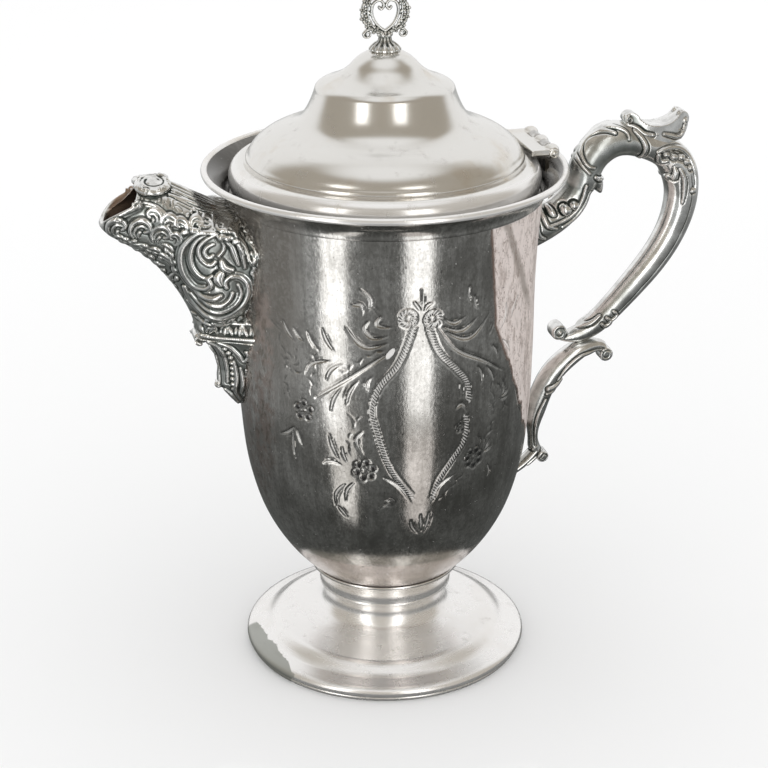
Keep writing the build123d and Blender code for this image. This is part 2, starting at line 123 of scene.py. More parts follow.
# one mesh from (points in mm, faces, {attribute: values}) parts; doubles are merged and the
# normals recalculated, then every edge over sharpAngle is left sharp
def makePiece(name, parts, body, material, replaced=(), sharpAngle=40, merge=0.002):
    points, faces, shift = [], [], 0
    names = sorted({key for part in parts if len(part) > 2 for key in part[2]})
    values = {key: [] for key in names}
    for part in parts:
        pts = np.asarray(part[0], float).reshape(-1, 3)
        points.append(pts)
        faces += [[int(corner) + shift for corner in face] for face in part[1]]
        given = part[2] if len(part) > 2 else {}
        for key in names:
            column = np.asarray(given.get(key, 0.0), float)
            values[key].append(np.broadcast_to(column.ravel() if column.ndim else column, len(pts)))
        shift += len(pts)
    points = np.vstack(points)
    mesh = bpy.data.meshes.new(name)
    mesh.from_pydata((points * mm).tolist(), [], faces)
    for key in names:
        layer = mesh.attributes.new(key, "FLOAT", "POINT")
        layer.data.foreach_set("value", np.concatenate(values[key]).astype(np.float32))
    work = bmesh.new()
    work.from_mesh(mesh)
    if merge:
        bmesh.ops.remove_doubles(work, verts=work.verts, dist=merge * mm)
        bmesh.ops.dissolve_degenerate(work, edges=work.edges, dist=1e-7)
    bmesh.ops.recalc_face_normals(work, faces=work.faces)
    work.to_mesh(mesh)
    work.free()
    mesh.polygons.foreach_set("use_smooth", [True] * len(mesh.polygons))
    mesh.set_sharp_from_angle(angle=radians(sharpAngle))
    piece = bpy.data.objects.new(name, mesh)
    bpy.context.scene.collection.objects.link(piece)
    mesh.materials.append(material)
    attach(piece, body)
    if replaced:
        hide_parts(*replaced)
    return piece


# turned surface: every point (r, z) of an outline goes round the axis in `count` steps; an
# outline that starts and ends on the axis isn't wrapped
def turned(outline, count=256):
    outline = np.asarray(outline, float)
    turn = np.linspace(0, 2 * pi, count, endpoint=False)
    r, z = outline[:, 0][:, None], outline[:, 1][:, None]
    grid = np.stack([r * np.cos(turn), r * np.sin(turn), z + 0 * turn], -1)
    closed = outline[0, 0] > 0.01 or outline[-1, 0] > 0.01
    return grid, gridFaces(len(outline), count, wrapRows=closed, wrapCols=True)


def unit(vectors):
    return vectors / np.maximum(np.linalg.norm(vectors, axis=-1, keepdims=True), 1e-9)


# Castings are built up from closed tubes and balls, joined by a voxel skin and then carved


# faces of closed rings in rows, and a fan at each end to the two points after them
def ringFaces(rings, sides):
    faces = gridFaces(rings, sides, wrapCols=True).tolist()
    foot = rings * sides
    last = foot - sides
    for i in range(sides):
        j = (i + 1) % sides
        faces += [[foot, j, i], [foot + 1, last + i, last + j]]
    return faces


# closed tube along stations of (x, y, z, half thickness, half width); each ring is an ellipse
# with its wide side along `across`
def tube(stations, across=(0, 1, 0), sides=12, perSpan=5):
    path = smoothPath(stations, perSpan, 3) if perSpan > 1 else np.asarray(stations, float)
    centre, thick, wide = path[:, :3], path[:, 3:4], path[:, 4:5]
    along = unit(np.gradient(centre, axis=0))
    across = np.asarray(across, float)
    side = unit(across - along * (along @ across)[:, None])
    rise = np.cross(side, along)
    turn = np.linspace(0, 2 * pi, sides, endpoint=False)[:, None]
    rings = centre[:, None] + (rise * thick)[:, None] * np.cos(turn)
    rings = rings + (side * wide)[:, None] * np.sin(turn)
    ends = [centre[:1] - along[:1] * thick[:1] * 0.7, centre[-1:] + along[-1:] * thick[-1:] * 0.7]
    return np.vstack([rings.reshape(-1, 3)] + ends), ringFaces(len(path), sides)


def ball(centre, size, sides=12):
    lift = np.linspace(-pi / 2, pi / 2, sides // 2 + 1)[1:-1, None]
    turn = np.linspace(0, 2 * pi, sides, endpoint=False)
    flat = np.cos(lift)
    grid = np.stack([flat * np.cos(turn), flat * np.sin(turn), np.sin(lift) + 0 * turn], -1)
    points = np.vstack([grid.reshape(-1, 3), [[0, 0, -1]], [[0, 0, 1]]])
    return np.asarray(centre, float) + points * size, ringFaces(len(lift), sides)


# stations of a spiral in the plane of u and v, winding inwards from angle `start` in degrees
def spiral(centre, outer, turns, start, thick, wide=None, u=(1, 0, 0), v=(0, 0, 1), inner=0.2):
    t = np.linspace(0, 1, int(abs(turns) * 12) + 2)[:, None]
    radius = outer * (1 - (1 - inner) * t)
    angle = radians(start) + 2 * pi * turns * t
    place = radius * (np.cos(angle) * np.asarray(u, float) + np.sin(angle) * np.asarray(v, float))
    size = thick * (1 - 0.35 * t)
    return np.hstack([np.asarray(centre, float) + place, size, size * ((wide or thick) / thick)])


# the same solids on both sides of the plane y = 0
def mirrored(solids):
    return solids + [(part[0] * (1, -1, 1), part[1]) for part in solids]


# points in mm and faces of a CAD node
def cadSolid(name):
    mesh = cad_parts[name].data
    points = np.empty(len(mesh.vertices) * 3)
    mesh.vertices.foreach_get("co", points)
    return points.reshape(-1, 3) / mm, [list(face.vertices) for face in mesh.polygons]


# one closed skin of quads round all the solids
def voxelSkin(solids, voxel):
    points, faces, shift = [], [], 0
    for part in solids:
        points.append(part[0])
        faces += [[corner + shift for corner in face] for face in part[1]]
        shift += len(part[0])
    mesh = bpy.data.meshes.new("raw")
    mesh.from_pydata(np.vstack(points).tolist(), [], faces)
    raw = bpy.data.objects.new("raw", mesh)
    bpy.context.scene.collection.objects.link(raw)
    skin = raw.modifiers.new("skin", "REMESH")
    skin.mode = "VOXEL"
    skin.voxel_size = voxel
    graph = bpy.context.evaluated_depsgraph_get()
    made = bpy.data.meshes.new_from_object(raw.evaluated_get(graph))
    bpy.data.objects.remove(raw)
    points = np.empty(len(made.vertices) * 3)
    made.vertices.foreach_get("co", points)
    quads = np.empty(len(made.loops), int)
    made.loops.foreach_get("vertex_index", quads)
    edges = np.empty(len(made.edges) * 2, int)
    made.edges.foreach_get("vertices", edges)
    bpy.data.meshes.remove(made)
    return points.reshape(-1, 3), quads.reshape(-1, 4), edges.reshape(-1, 2)


# every point moves part of the way to the mean of its neighbours, once for each rate
def relax(points, edges, rates):
    a, b = edges[:, 0], edges[:, 1]
    size = len(points)
    count = (np.bincount(a, minlength=size) + np.bincount(b, minlength=size))[:, None]
    for rate in rates:
        total = [np.bincount(a, points[b, i], size) + np.bincount(b, points[a, i], size) for i in range(3)]
        points = points + (np.stack(total, -1) / count - points) * rate
    return points


def skinNormals(points, quads):
    p = points[quads]
    face = np.cross(p[:, 2] - p[:, 0], p[:, 3] - p[:, 1])
    total = np.zeros_like(points)
    for corner in range(4):
        for i in range(3):
            total[:, i] += np.bincount(quads[:, corner], face[:, i], len(points))
    return unit(total)


# height of raised strokes at the points (u, v): a stroke is a smooth path of (u, v, half width)
# that swells like a half round bar, and the highest stroke wins; a ditch of depth `moat` times
# the half width runs along both sides
def strokeField(u, v, strokes, swell=0.8, power=0.5, moat=0.0):
    field, ditch = np.zeros(len(u)), np.zeros(len(u))
    for stroke in strokes:
        path = evenPath(smoothPath(stroke, 6), 0.3)
        reach = path[:, 2].max() * (1.9 if moat else 1.0)
        low, high = path[:, :2].min(0) - reach, path[:, :2].max(0) + reach
        near = np.flatnonzero((u > low[0]) & (u < high[0]) & (v > low[1]) & (v < high[1]))
        if len(near) == 0:
            continue
        gap = np.hypot(u[near, None] - path[:, 0], v[near, None] - path[:, 1]) / path[:, 2]
        best = gap.argmin(1)
        rise = np.clip(1 - gap[np.arange(len(near)), best] ** 2, 0, 1) ** power * path[best, 2] * swell
        field[near] = np.maximum(field[near], rise)
        if moat:
            dip = np.exp(-(((gap[np.arange(len(near)), best] - 1.3) / 0.3) ** 2)) * path[best, 2]
            ditch[near] = np.maximum(ditch[near], dip)
    return np.where(field > 0, field, -ditch * moat)


def smoothStep(value, low, high):
    t = np.clip((value - low) / (high - low), 0, 1)
    return t * t * (3 - 2 * t)


# the same piece with a share of its faces, taken away where the surface bends least
def thinOut(piece, share):
    fewer = piece.modifiers.new("fewer", "DECIMATE")
    fewer.ratio = share
    graph = bpy.context.evaluated_depsgraph_get()
    made = bpy.data.meshes.new_from_object(piece.evaluated_get(graph))
    piece.modifiers.remove(fewer)
    piece.data = made


# a casting: voxel skin, smoothing that keeps the volume, carving along the normals, and the
# attribute relief, the height over a blurred copy of itself, which darkens the recesses
def sculpt(
    name, solids, voxel, body, material, replaced, carve=None, smooth=3, blur=1.2, depth=0.35,
):
    points, quads, edges = voxelSkin(solids, voxel)
    points = relax(points, edges, (0.5, -0.53) * smooth)
    values = {}
    if carve:
        rise, values = carve(points, skinNormals(points, quads))
        points = points + skinNormals(points, quads) * rise[:, None]
        points = relax(points, edges, (0.3,))
    blurred = relax(points, edges, (0.5,) * int(2 * (blur / voxel) ** 2))
    height = ((points - blurred) * skinNormals(points, quads)).sum(1)
    values["relief"] = np.clip(0.5 + height / depth, 0, 1)
    # upward: how far each face turns up; the cast material paints such faces lighter as painted sheen
    values["upward"] = smoothStep(skinNormals(points, quads)[:, 2], 0.3, 0.95)
    low, high = (np.array(corner) / mm for corner in cadBox)
    points = np.clip(points, low, high)
    print(name, "points", len(points))
    return makePiece(name, [(points, quads, values)], body, material, replaced, 75, merge=0)


# Shader maths

# one socket of a material, so that sums and products of masks are written as expressions
class Mask:
    def __init__(self, paint, socket):
        self.paint = paint
        self.socket = socket

    def maths(self, operation, first, second):
        return self.paint.node("ShaderNodeMath", {"operation": operation}, {0: first, 1: second})

    def __add__(self, other):
        return self.maths("ADD", self, other)

    def __sub__(self, other):
        return self.maths("SUBTRACT", self, other)

    def __rsub__(self, other):
        return self.maths("SUBTRACT", other, self)

    def __mul__(self, other):
        return self.maths("MULTIPLY", self, other)

    def __truediv__(self, other):
        return self.maths("DIVIDE", self, other)

    def larger(self, other):
        return self.maths("MAXIMUM", self, other)

    __radd__ = __add__
    __rmul__ = __mul__


# a material's node tree; node() makes any node from its type, its settings and its sockets
class Paint:
    def __init__(self, name):
        self.material = bpy.data.materials.new(name)
        self.material.use_nodes = True
        self.tree = self.material.node_tree
        self.shader = self.tree.nodes["Principled BSDF"]
        self.place = self.node("ShaderNodeTexCoord", {}, {}, "Object")
        self.inMm = self.node(
            "ShaderNodeVectorMath", {"operation": "SCALE"}, {0: self.place, "Scale": 1000.0}
        )
        split = self.node("ShaderNodeSeparateXYZ", {}, {0: self.inMm}, None)
        self.x, self.y, self.z = (Mask(self, split.outputs[i]) for i in range(3))

    def node(self, kind, settings, sockets, output=0):
        made = self.tree.nodes.new(kind)
        for key, value in settings.items():
            if key == "stops":
                self.setStops(made.color_ramp, value)
            else:
                setattr(made, key, value)
        for key, value in sockets.items():
            self.feed(made.inputs[key], value)
        return made if output is None else Mask(self, made.outputs[output])

    def setStops(self, ramp, stops):
        while len(ramp.elements) < len(stops):
            ramp.elements.new(0.5)
        for element, (position, level) in zip(ramp.elements, stops):
            element.position = position
            element.color = (level, level, level, 1)

    def feed(self, socket, value):
        if isinstance(value, Mask):
            self.tree.links.new(value.socket, socket)
        elif hasattr(value, "__len__") and len(value) == 3 and socket.type == "RGBA":
            socket.default_value = (*value, 1)
        else:
            socket.default_value = value

    # smooth step of a value from low to high, as 0 to 1
    def step(self, value, low, high):
        settings = {"interpolation_type": "SMOOTHSTEP", "clamp": True}
        return self.node("ShaderNodeMapRange", settings, {0: value, 1: low, 2: high, 3: 0.0, 4: 1.0})

    # fractal noise of a given feature size in mm; stretch lengthens it along each axis
    def noise(self, size, detail=3.0, rough=0.55, stretch=(1, 1, 1), seed=0.0):
        scaled = self.node(
            "ShaderNodeMapping",
            {},
            {"Vector": self.inMm, "Location": (seed, seed * 0.7, -seed), "Scale": [1 / s for s in stretch]},
        )
        sockets = {"Vector": scaled, "Scale": 1.0 / size, "Detail": detail, "Roughness": rough}
        return self.node("ShaderNodeTexNoise", {}, sockets)

    def blend(self, factor, first, second):
        made = self.node("ShaderNodeMix", {"data_type": "RGBA"}, {0: factor, 6: first, 7: second}, None)
        return Mask(self, made.outputs[2])

    def attribute(self, name):
        return self.node("ShaderNodeAttribute", {"attribute_name": name}, {}, "Fac")

    def bump(self, height, strength, distance):
        sockets = {"Height": height, "Strength": strength, "Distance": distance * mm}
        return self.node("ShaderNodeBump", {}, sockets)

    def finish(self, **sockets):
        for name, value in sockets.items():
            self.feed(self.shader.inputs[name.replace("_", " ")], value)
        return self.material


# polished plate: pale silver with faint warm tarnish, hairline scratches and small pits
def brightSilver():
    look = {
        "silver": (0.80, 0.785, 0.755),
        "clean": (0.93, 0.915, 0.90),
        "warm": (0.66, 0.58, 0.47),
        "dull": (0.46, 0.44, 0.41),
        # grey of the painted shade on the foot's edge
        "bareAndShade": (0.40, 0.41, 0.38),
        "roughness": 0.25,
    }
    paint = Paint("brightSilver")
    cloud = paint.step(paint.noise(26, 4, 0.6), 0.50, 0.72)
    specks = paint.step(paint.noise(1.1, 2, 0.5, seed=11), 0.70, 0.80)
    worn = paint.step(paint.noise(7, 5, 0.65, seed=5), 0.56, 0.75)
    hairs = paint.noise(1.2, 2, 0.5, stretch=(14, 14, 0.35), seed=3)
    band = paint.step(paint.z, 190, 194) * (1 - paint.step(paint.z, 204, 206))
    colour = paint.blend(paint.step(paint.z, 34, 60) - band * 0.7, look["clean"], look["silver"])
    colour = paint.blend(cloud * 0.45 * paint.step(paint.z, 20, 60) + cloud * 0.1, colour, look["warm"])
    colour = paint.blend(worn * 0.30, colour, look["dull"])
    colour = paint.blend(specks * 0.5, colour, look["dull"])
    # painted shade: a ragged dark patch on the left of the foot's edge, for the shade and dark reflection
    # there
    line = paint.x * -1 + (paint.y + 14) * -0.16 + (paint.noise(6, 4, 0.6, seed=51) - 0.5) * 5
    footEdgeShade = paint.step(line, 48.9, 49.3) * (1 - paint.step(paint.z, 9, 10)) * (1 - paint.step(paint.y, 8, 10))
    colour = paint.blend(footEdgeShade * 0.9, colour, look["bareAndShade"])
    onLid = paint.step(paint.z, 190, 196)
    rough = worn * 0.12 + cloud * 0.06 + hairs * 0.08 + footEdgeShade * 0.2 - onLid * 0.05
    rough = rough + (look["roughness"] - 0.03)
    normal = paint.bump(hairs + specks * -0.8, 0.12, 0.02)
    clear = band * 0.30 + (1 - paint.step(paint.z, 28, 36)) * 0.16
    return paint.finish(Base_Color=colour, Metallic=1 - clear, Roughness=rough, Normal=normal)


# tarnished plate of the cup: satin grey, pinkish and duller where the plate has worn through
def agedSilver():
    look = {
        "dark": (0.35, 0.34, 0.32),
        "grey": (0.72, 0.705, 0.68),
        "worn": (0.86, 0.765, 0.725),
        "edge": (0.40, 0.325, 0.29),
        "stain": (0.16, 0.09, 0.06),
        "streak": (0.17, 0.14, 0.11),
        "grime": (0.065, 0.06, 0.052),
        "filmAndDarkReflection": (0.20, 0.185, 0.165),
        "bottomWear": 53.5,
        "roughness": 0.13,
    }
    paint = Paint("agedSilver")
    streaks = paint.noise(3.0, 4, 0.6, stretch=(1, 1, 12), seed=2)
    clouds = paint.noise(22, 5, 0.62, seed=7)
    grain = paint.noise(0.7, 3, 0.6, stretch=(1, 1, 2.5), seed=9)
    ragged = (paint.noise(9, 5, 0.7, seed=4) - 0.5) * 16
    tone = paint.step(streaks * 0.30 + clouds * 0.50 + grain * 0.20, 0.38, 0.64)
    colour = paint.blend(tone, look["dark"], look["grey"])
    fine = paint.step(paint.noise(1.7, 4, 0.7, seed=71), 0.47, 0.60)
    colour = paint.blend(fine * 0.32, colour, (0.24, 0.23, 0.215))
    # brownish film and a painted dark reflection to the left of the bright strip: partly tarnish, partly the
    # strip's soft dark edge painted in
    filmAndDarkReflection = paint.step(paint.x * -1 + ragged * 0.3, 38, 47) * paint.step(paint.y * -1, -30, -10)
    filmAndDarkReflection = filmAndDarkReflection * paint.step(paint.z, 105, 165)
    colour = paint.blend(filmAndDarkReflection * (0.95 - fine * 0.25), colour, look["filmAndDarkReflection"])
    low = 1 - paint.step(paint.z + ragged * 0.22, look["bottomWear"] - 0.9, look["bottomWear"] + 0.9)
    below = paint.node("ShaderNodeMath", {"operation": "MAXIMUM"}, {0: 153 - paint.z, 1: 0.0})
    loose = paint.step(153 - paint.z, 3, 33) * 0.35 + 0.15
    side = paint.step(paint.x + paint.z * 0.1 - below * 0.27 + ragged * loose, 44.2, 46.4)
    left = paint.step(paint.x * -1 + ragged * 0.5, 49, 53) * (1 - paint.step(paint.z, 160, 176))
    front = paint.step(paint.y * -1, -30, -18) * (1 - paint.step(paint.z, 191.6, 192.4))
    mottle = paint.step(paint.noise(4.5, 5, 0.7, seed=41), 0.38, 0.60)
    colour = paint.blend(left * front * mottle * 0.8, colour, look["edge"])
    blot = paint.step(paint.noise(2.4, 4, 0.7, stretch=(1, 1, 2), seed=47), 0.52, 0.60)
    colour = paint.blend(left * front * blot * 0.6, colour, look["streak"])
    wear = (low * 0.52).larger(side * front)
    tan = paint.step(paint.noise(8, 6, 0.75, stretch=(1, 1, 3.5), seed=43), 0.52, 0.62)
    colour = paint.blend(wear * (0.65 + grain * 0.5), colour, look["worn"])
    colour = paint.blend(wear * tan * 0.6, colour, look["edge"])
    rust = paint.step(paint.noise(5, 6, 0.78, stretch=(1, 1, 2.6), seed=83), 0.53, 0.62)
    colour = paint.blend(side * front * rust * 0.5, colour, look["edge"])
    colour = paint.blend(side * (1 - side) * front * 3.2, colour, look["stain"])
    # a dark diagonal streak across the worn side
    slant = paint.x - 35 + (paint.z - 187) * 0.4 + ragged * 0.22
    slant = paint.node("ShaderNodeMath", {"operation": "ABSOLUTE"}, {0: slant})
    streak = (1 - paint.step(slant, 0.5, 2.6)) * paint.step(paint.z, 148, 160)
    colour = paint.blend(streak * side * front * 0.6, colour, look["streak"])
    vein = paint.noise(10, 5, 0.75, stretch=(1, 1, 2.4), seed=61) - 0.5
    crack = 1 - paint.step(paint.node("ShaderNodeMath", {"operation": "ABSOLUTE"}, {0: vein}), 0.0, 0.012)
    colour = paint.blend(crack * wear * side * 0.8, colour, look["stain"])
    spots = paint.step(paint.noise(2.6, 5, 0.75, seed=21), 0.64, 0.70)
    colour = paint.blend(spots * wear * 0.8, colour, look["stain"])
    specks = paint.step(paint.noise(1.3, 2, 0.5, seed=31), 0.68, 0.76)
    colour = paint.blend(specks * 0.7, colour, (0.10, 0.09, 0.085))
    scuffs = paint.step(paint.noise(1.6, 3, 0.6, seed=37), 0.70, 0.75)
    cut = paint.attribute("cut")
    # painted shade and highlight in the engraved cuts: dark flanks painted as shade, a bright core painted as
    # a highlight
    cutHighlight = paint.step(cut, 0.6, 0.95)
    shade = paint.attribute("shade")
    colour = paint.blend((paint.step(cut, 0.1, 0.4) - cutHighlight) * 0.45, colour, (0.12, 0.12, 0.115))
    colour = paint.blend(cutHighlight * 0.5, colour, (0.86, 0.845, 0.82))
    # painted shade inside the flare, nearly black, from the attribute the flare carries
    colour = paint.blend(paint.attribute("grime"), colour, look["grime"])
    colour = paint.blend(shade * 0.85, colour, (0.07, 0.07, 0.07))
    colour = paint.blend(scuffs * 0.5, colour, (0.82, 0.81, 0.79))
    wave = paint.node(
        "ShaderNodeMath", {"operation": "SINE"}, {0: paint.attribute("along") * (2 * pi / 1.15)},
    )
    ticks = paint.attribute("band") * paint.step(wave, -0.3, 0.6)
    colour = paint.blend(paint.attribute("band") * 0.35, colour, (0.16, 0.16, 0.155))
    colour = paint.blend(ticks * 0.65, colour, (0.86, 0.845, 0.82))
    bareAndShade = paint.node(
        "ShaderNodeVectorMath",
        {"operation": "DISTANCE"},
        {
            0: paint.node(
                "ShaderNodeCombineXYZ", {}, {0: paint.x - paint.z * 0.55, 1: 0.0, 2: paint.z * 0.55},
            ),
            1: (-93.8, 0, 81.6),
        },
        "Value",
    )
    chip = 1 - paint.step(bareAndShade + ragged * 0.03, 1.0, 1.3)
    colour = paint.blend(chip * front, colour, (0.85, 0.84, 0.83))
    soft = scuffs * 0.25 + (ticks + cutHighlight) * 0.14 + chip * 0.3
    rough = streaks * 0.06 + grain * 0.16 + low * 0.08 + side * front * 0.26 + soft
    rough = rough + (look["roughness"] - 0.08)
    normal = paint.bump(grain * 0.9 + streaks * 0.2 - ticks * 1.2, 0.4, 0.07)
    metal = 1 - low * 0.06 - side * front * 0.68 - chip * 0.4 - ticks * 0.45 - cutHighlight * 0.12 - scuffs * 0.2
    metal = metal - filmAndDarkReflection * 0.30
    return paint.finish(Base_Color=colour, Metallic=metal, Roughness=rough, Normal=normal)


# cast and chased silver: bright on the high points, nearly black in the recesses, with painted sheen on the
# grip and on faces turned up
def castSilver():
    look = {
        "high": (0.90, 0.90, 0.885),
        "middle": (0.40, 0.43, 0.41),
        "low": (0.050, 0.060, 0.055),
        "brown": (0.34, 0.25, 0.19),
        "roughness": 0.18,
    }
    paint = Paint("castSilver")
    relief = paint.attribute("relief")
    cloud = paint.noise(6, 4, 0.6, seed=13)
    grain = paint.noise(0.5, 3, 0.6, seed=17)
    uneven = relief + (cloud - 0.5) * 0.3
    # painted sheen: the grip and the faces turned up painted lighter, for the sky and white room they reflect
    paintedSheen = paint.step(paint.x, 98, 112) * 0.46 + paint.attribute("upward") * 0.42
    lit = paint.step(uneven, 0.12, 0.52)
    high = paint.step(uneven + paintedSheen, 0.46, 0.86)
    colour = paint.blend(high, paint.blend(lit, look["low"], look["middle"]), look["high"])
    colour = paint.blend((1 - paint.step(cloud, 0.35, 0.62)) * 0.4, colour, (0.30, 0.29, 0.27))
    colour = paint.blend(paint.attribute("inside"), colour, look["brown"])
    # a brown stain on top of the spout, near the body
    apart = paint.node(
        "ShaderNodeVectorMath", {"operation": "DISTANCE"}, {0: paint.inMm, 1: (-66.0, -7.0, 196.0)},
        "Value",
    )
    stain = 1 - paint.step(apart + (cloud - 0.5) * 8, 2.6, 4.6)
    colour = paint.blend(stain * 0.7, colour, (0.42, 0.25, 0.14))
    rough = (1 - high) * 0.14 + (1 - lit) * 0.16 + cloud * 0.10 + paint.attribute("inside") * 0.2
    rough = rough + (look["roughness"] - 0.04)
    normal = paint.bump(grain, 0.15, 0.04)
    return paint.finish(Base_Color=colour, Metallic=1.0, Roughness=rough, Normal=normal)


# bare brass of the screw and nut inside the lid
def rawBrass():
    paint = Paint("rawBrass")
    cloud = paint.noise(1.5, 4, 0.6)
    colour = paint.blend(cloud, (0.62, 0.45, 0.20), (0.38, 0.27, 0.13))
    return paint.finish(Base_Color=colour, Metallic=1.0, Roughness=cloud * 0.2 + 0.3)


bright, aged, cast, brass = brightSilver(), agedSilver(), castSilver(), rawBrass()
print("materials made")


# Stage: camera at the photograph's angle, pale floor, soft light


view = {
    "place": (-174.2, -697.2, 414.6),
    "down": 22.83,
    "turn": -14.0,
    "lens": 91.875,
    "sensor": 36.0,
    "pixels": 768,
}


def makeCamera():
    data = bpy.data.cameras.new("camera")
    data.lens = view["lens"]
    data.sensor_width = view["sensor"]
    camera = bpy.data.objects.new("camera", data)
    camera.location = [value * mm for value in view["place"]]
    camera.rotation_euler = (radians(90 - view["down"]), 0, radians(view["turn"]))
    bpy.context.scene.collection.objects.link(camera)
    bpy.context.scene.camera = camera


# flat square stage piece; size is half its side in metres, lift its height in mm
def makeSheet(name, half, lift, material):
    corners = [(x * half, y * half, lift * mm) for x, y in ((-1, -1), (1, -1), (1, 1), (-1, 1))]
    mesh = bpy.data.meshes.new(name)
    mesh.from_pydata(corners, [], [(0, 1, 2, 3)])
    sheet = bpy.data.objects.new(name, mesh)
    bpy.context.scene.collection.objects.link(sheet)
    mesh.materials.append(material)
    return sheet


def makeFloor():
    look = {"colour": (0.90, 0.90, 0.90), "half": 6.0}
    paint = Paint("floor")
    makeSheet("floor", look["half"], 0, paint.finish(Base_Color=look["colour"], Roughness=0.9))


# dark card on the floor that only the metal's reflections see: near black round the foot,
# paler with distance from it
def makeCard():
    look = {"near": (0.085, 0.089, 0.086), "far": (0.44, 0.45, 0.45)}
    paint = Paint("card")
    distance = paint.node("ShaderNodeVectorMath", {"operation": "LENGTH"}, {0: paint.inMm}, "Value")
    left = paint.node("ShaderNodeMath", {"operation": "MAXIMUM"}, {0: paint.x * -1, 1: 0.0})
    colour = paint.blend(paint.step(distance + left * 0.7, 120, 900), look["near"], look["far"])
    material = paint.finish(Base_Color=(0, 0, 0), Roughness=1.0, Emission_Color=colour, Emission_Strength=1.0)
    card = makeSheet("card", 3.0, 0.3, material)
    card.visible_camera = False
    card.visible_diffuse = False
    card.visible_shadow = False
    card.visible_transmission = False


# pale room; the metal's reflections see its lower front half as a dim warm grey
def makeWorld():
    look = {"pale": (0.93, 0.93, 0.93), "dim": (0.40, 0.365, 0.31), "light": (1.12, 1.12, 1.12)}
    bpy.context.scene.view_settings.view_transform = "Standard"
    world = bpy.data.worlds.new("studio")
    bpy.context.scene.world = world
    world.use_nodes = True
    tree = world.node_tree
    back = tree.nodes["Background"]

    def node(kind, settings, sockets):
        made = tree.nodes.new(kind)
        for key, value in settings.items():
            setattr(made, key, value)
        for key, value in sockets.items():
            if hasattr(value, "is_output"):
                tree.links.new(value, made.inputs[key])
            else:
                made.inputs[key].default_value = value
        return made

    place = node("ShaderNodeTexCoord", {}, {}).outputs["Generated"]
    toward = node("ShaderNodeVectorMath", {"operation": "DOT_PRODUCT"}, {0: place, 1: (-0.24, -0.97, 0.0)})
    height = node("ShaderNodeSeparateXYZ", {}, {0: place}).outputs["Z"]
    smooth = {"interpolation_type": "SMOOTHSTEP"}
    front = node("ShaderNodeMapRange", smooth, {0: toward.outputs["Value"], 1: -0.50, 2: -0.22})
    low = node("ShaderNodeMapRange", smooth, {0: height, 1: 0.985, 2: 0.82})
    both = node("ShaderNodeMath", {"operation": "MULTIPLY"}, {0: front.outputs[0], 1: low.outputs[0]})
    colours = {"data_type": "RGBA"}
    seen = node("ShaderNodeMix", colours, {0: both.outputs[0], 6: (*look["pale"], 1), 7: (*look["dim"], 1)})
    glossy = node("ShaderNodeLightPath", {}, {}).outputs["Is Glossy Ray"]
    mixed = node("ShaderNodeMix", colours, {0: glossy, 6: (*look["light"], 1), 7: seen.outputs[2]})
    tree.links.new(mixed.outputs[2], back.inputs["Color"])
    back.inputs["Strength"].default_value = 1.0


# a lamp of a given size standing round the pot, seen only in reflections; the angle is
# measured from the camera's side, to the right
def makeLamp(name, angle, distance, middle, size, watts):
    data = bpy.data.lights.new(name, "AREA")
    data.shape = "RECTANGLE"
    data.size, data.size_y = size[0] * mm, size[1] * mm
    data.energy = watts
    lamp = bpy.data.objects.new(name, data)
    turn = radians(-14 + angle)
    lamp.location = (distance * sin(turn) * mm, -distance * cos(turn) * mm, middle * mm)
    lamp.rotation_euler = (radians(90), 0, turn)
    lamp.visible_camera = False
    lamp.visible_diffuse = False
    bpy.context.scene.collection.objects.link(lamp)


# glow on the card between a lamp's foot and the pot, as a glossy table would mirror the lamp:
# corners as (distance right of the camera's line, distance towards the camera)
def makeStreak(name, corners, colour):
    turn = radians(-14)
    points = []
    for right, near in corners:
        x = right * cos(turn) + near * sin(turn)
        y = right * sin(turn) - near * cos(turn)
        points.append((x * mm, y * mm, 0.6 * mm))
    mesh = bpy.data.meshes.new(name)
    mesh.from_pydata(points, [], [(0, 1, 2, 3)])
    streak = bpy.data.objects.new(name, mesh)
    bpy.context.scene.collection.objects.link(streak)
    paint = Paint(name)
    mesh.materials.append(paint.finish(Base_Color=(0, 0, 0), Emission_Color=colour, Emission_Strength=1.0))
    streak.visible_camera = False
    streak.visible_diffuse = False
    streak.visible_shadow = False


makeCamera()
makeFloor()
makeCard()
makeWorld()
makeLamp("leftLamp", -35, 290, 205, (92, 400), 0.21)
makeLamp("rightLamp", 23.5, 288, 205, (96, 400), 0.205)
makeStreak("leftGlow", [(-59, 98), (-38, 101), (-101, 276), (-189, 225)], (1.15, 1.13, 1.10))
makeStreak("rightGlow", [(30, 103), (55, 96), (168, 243), (71, 284)], (0.95, 0.90, 0.87))
print("stage set")


# Spun pieces


# outer line of the cup: (radius, height)
bowlCurve = [(30.2, 37), (35.6, 42.3), (41.7, 50), (48.5, 62), (54.2, 80), (57.3, 105), (58.1, 130)]
bowlCurve += [(58.3, 160), (59, 176), (60.3, 192)]
wall = 1.2


# sheet of the wall's thickness under an open outer line, from its first point to its last;
# the inner line leaves out detail finer than `plain` mm
def sheetOutline(outer, plain=3.0):
    rough = evenPath(outer, plain)
    kernel = np.ones(3) / 3
    inner = smoothPath(offsetLine(rough, -wall), 3)
    inner[1:-1] = np.column_stack([np.convolve(inner[:, i], kernel, "valid") for i in range(2)])
    return np.vstack([outer, inner[::-1]])


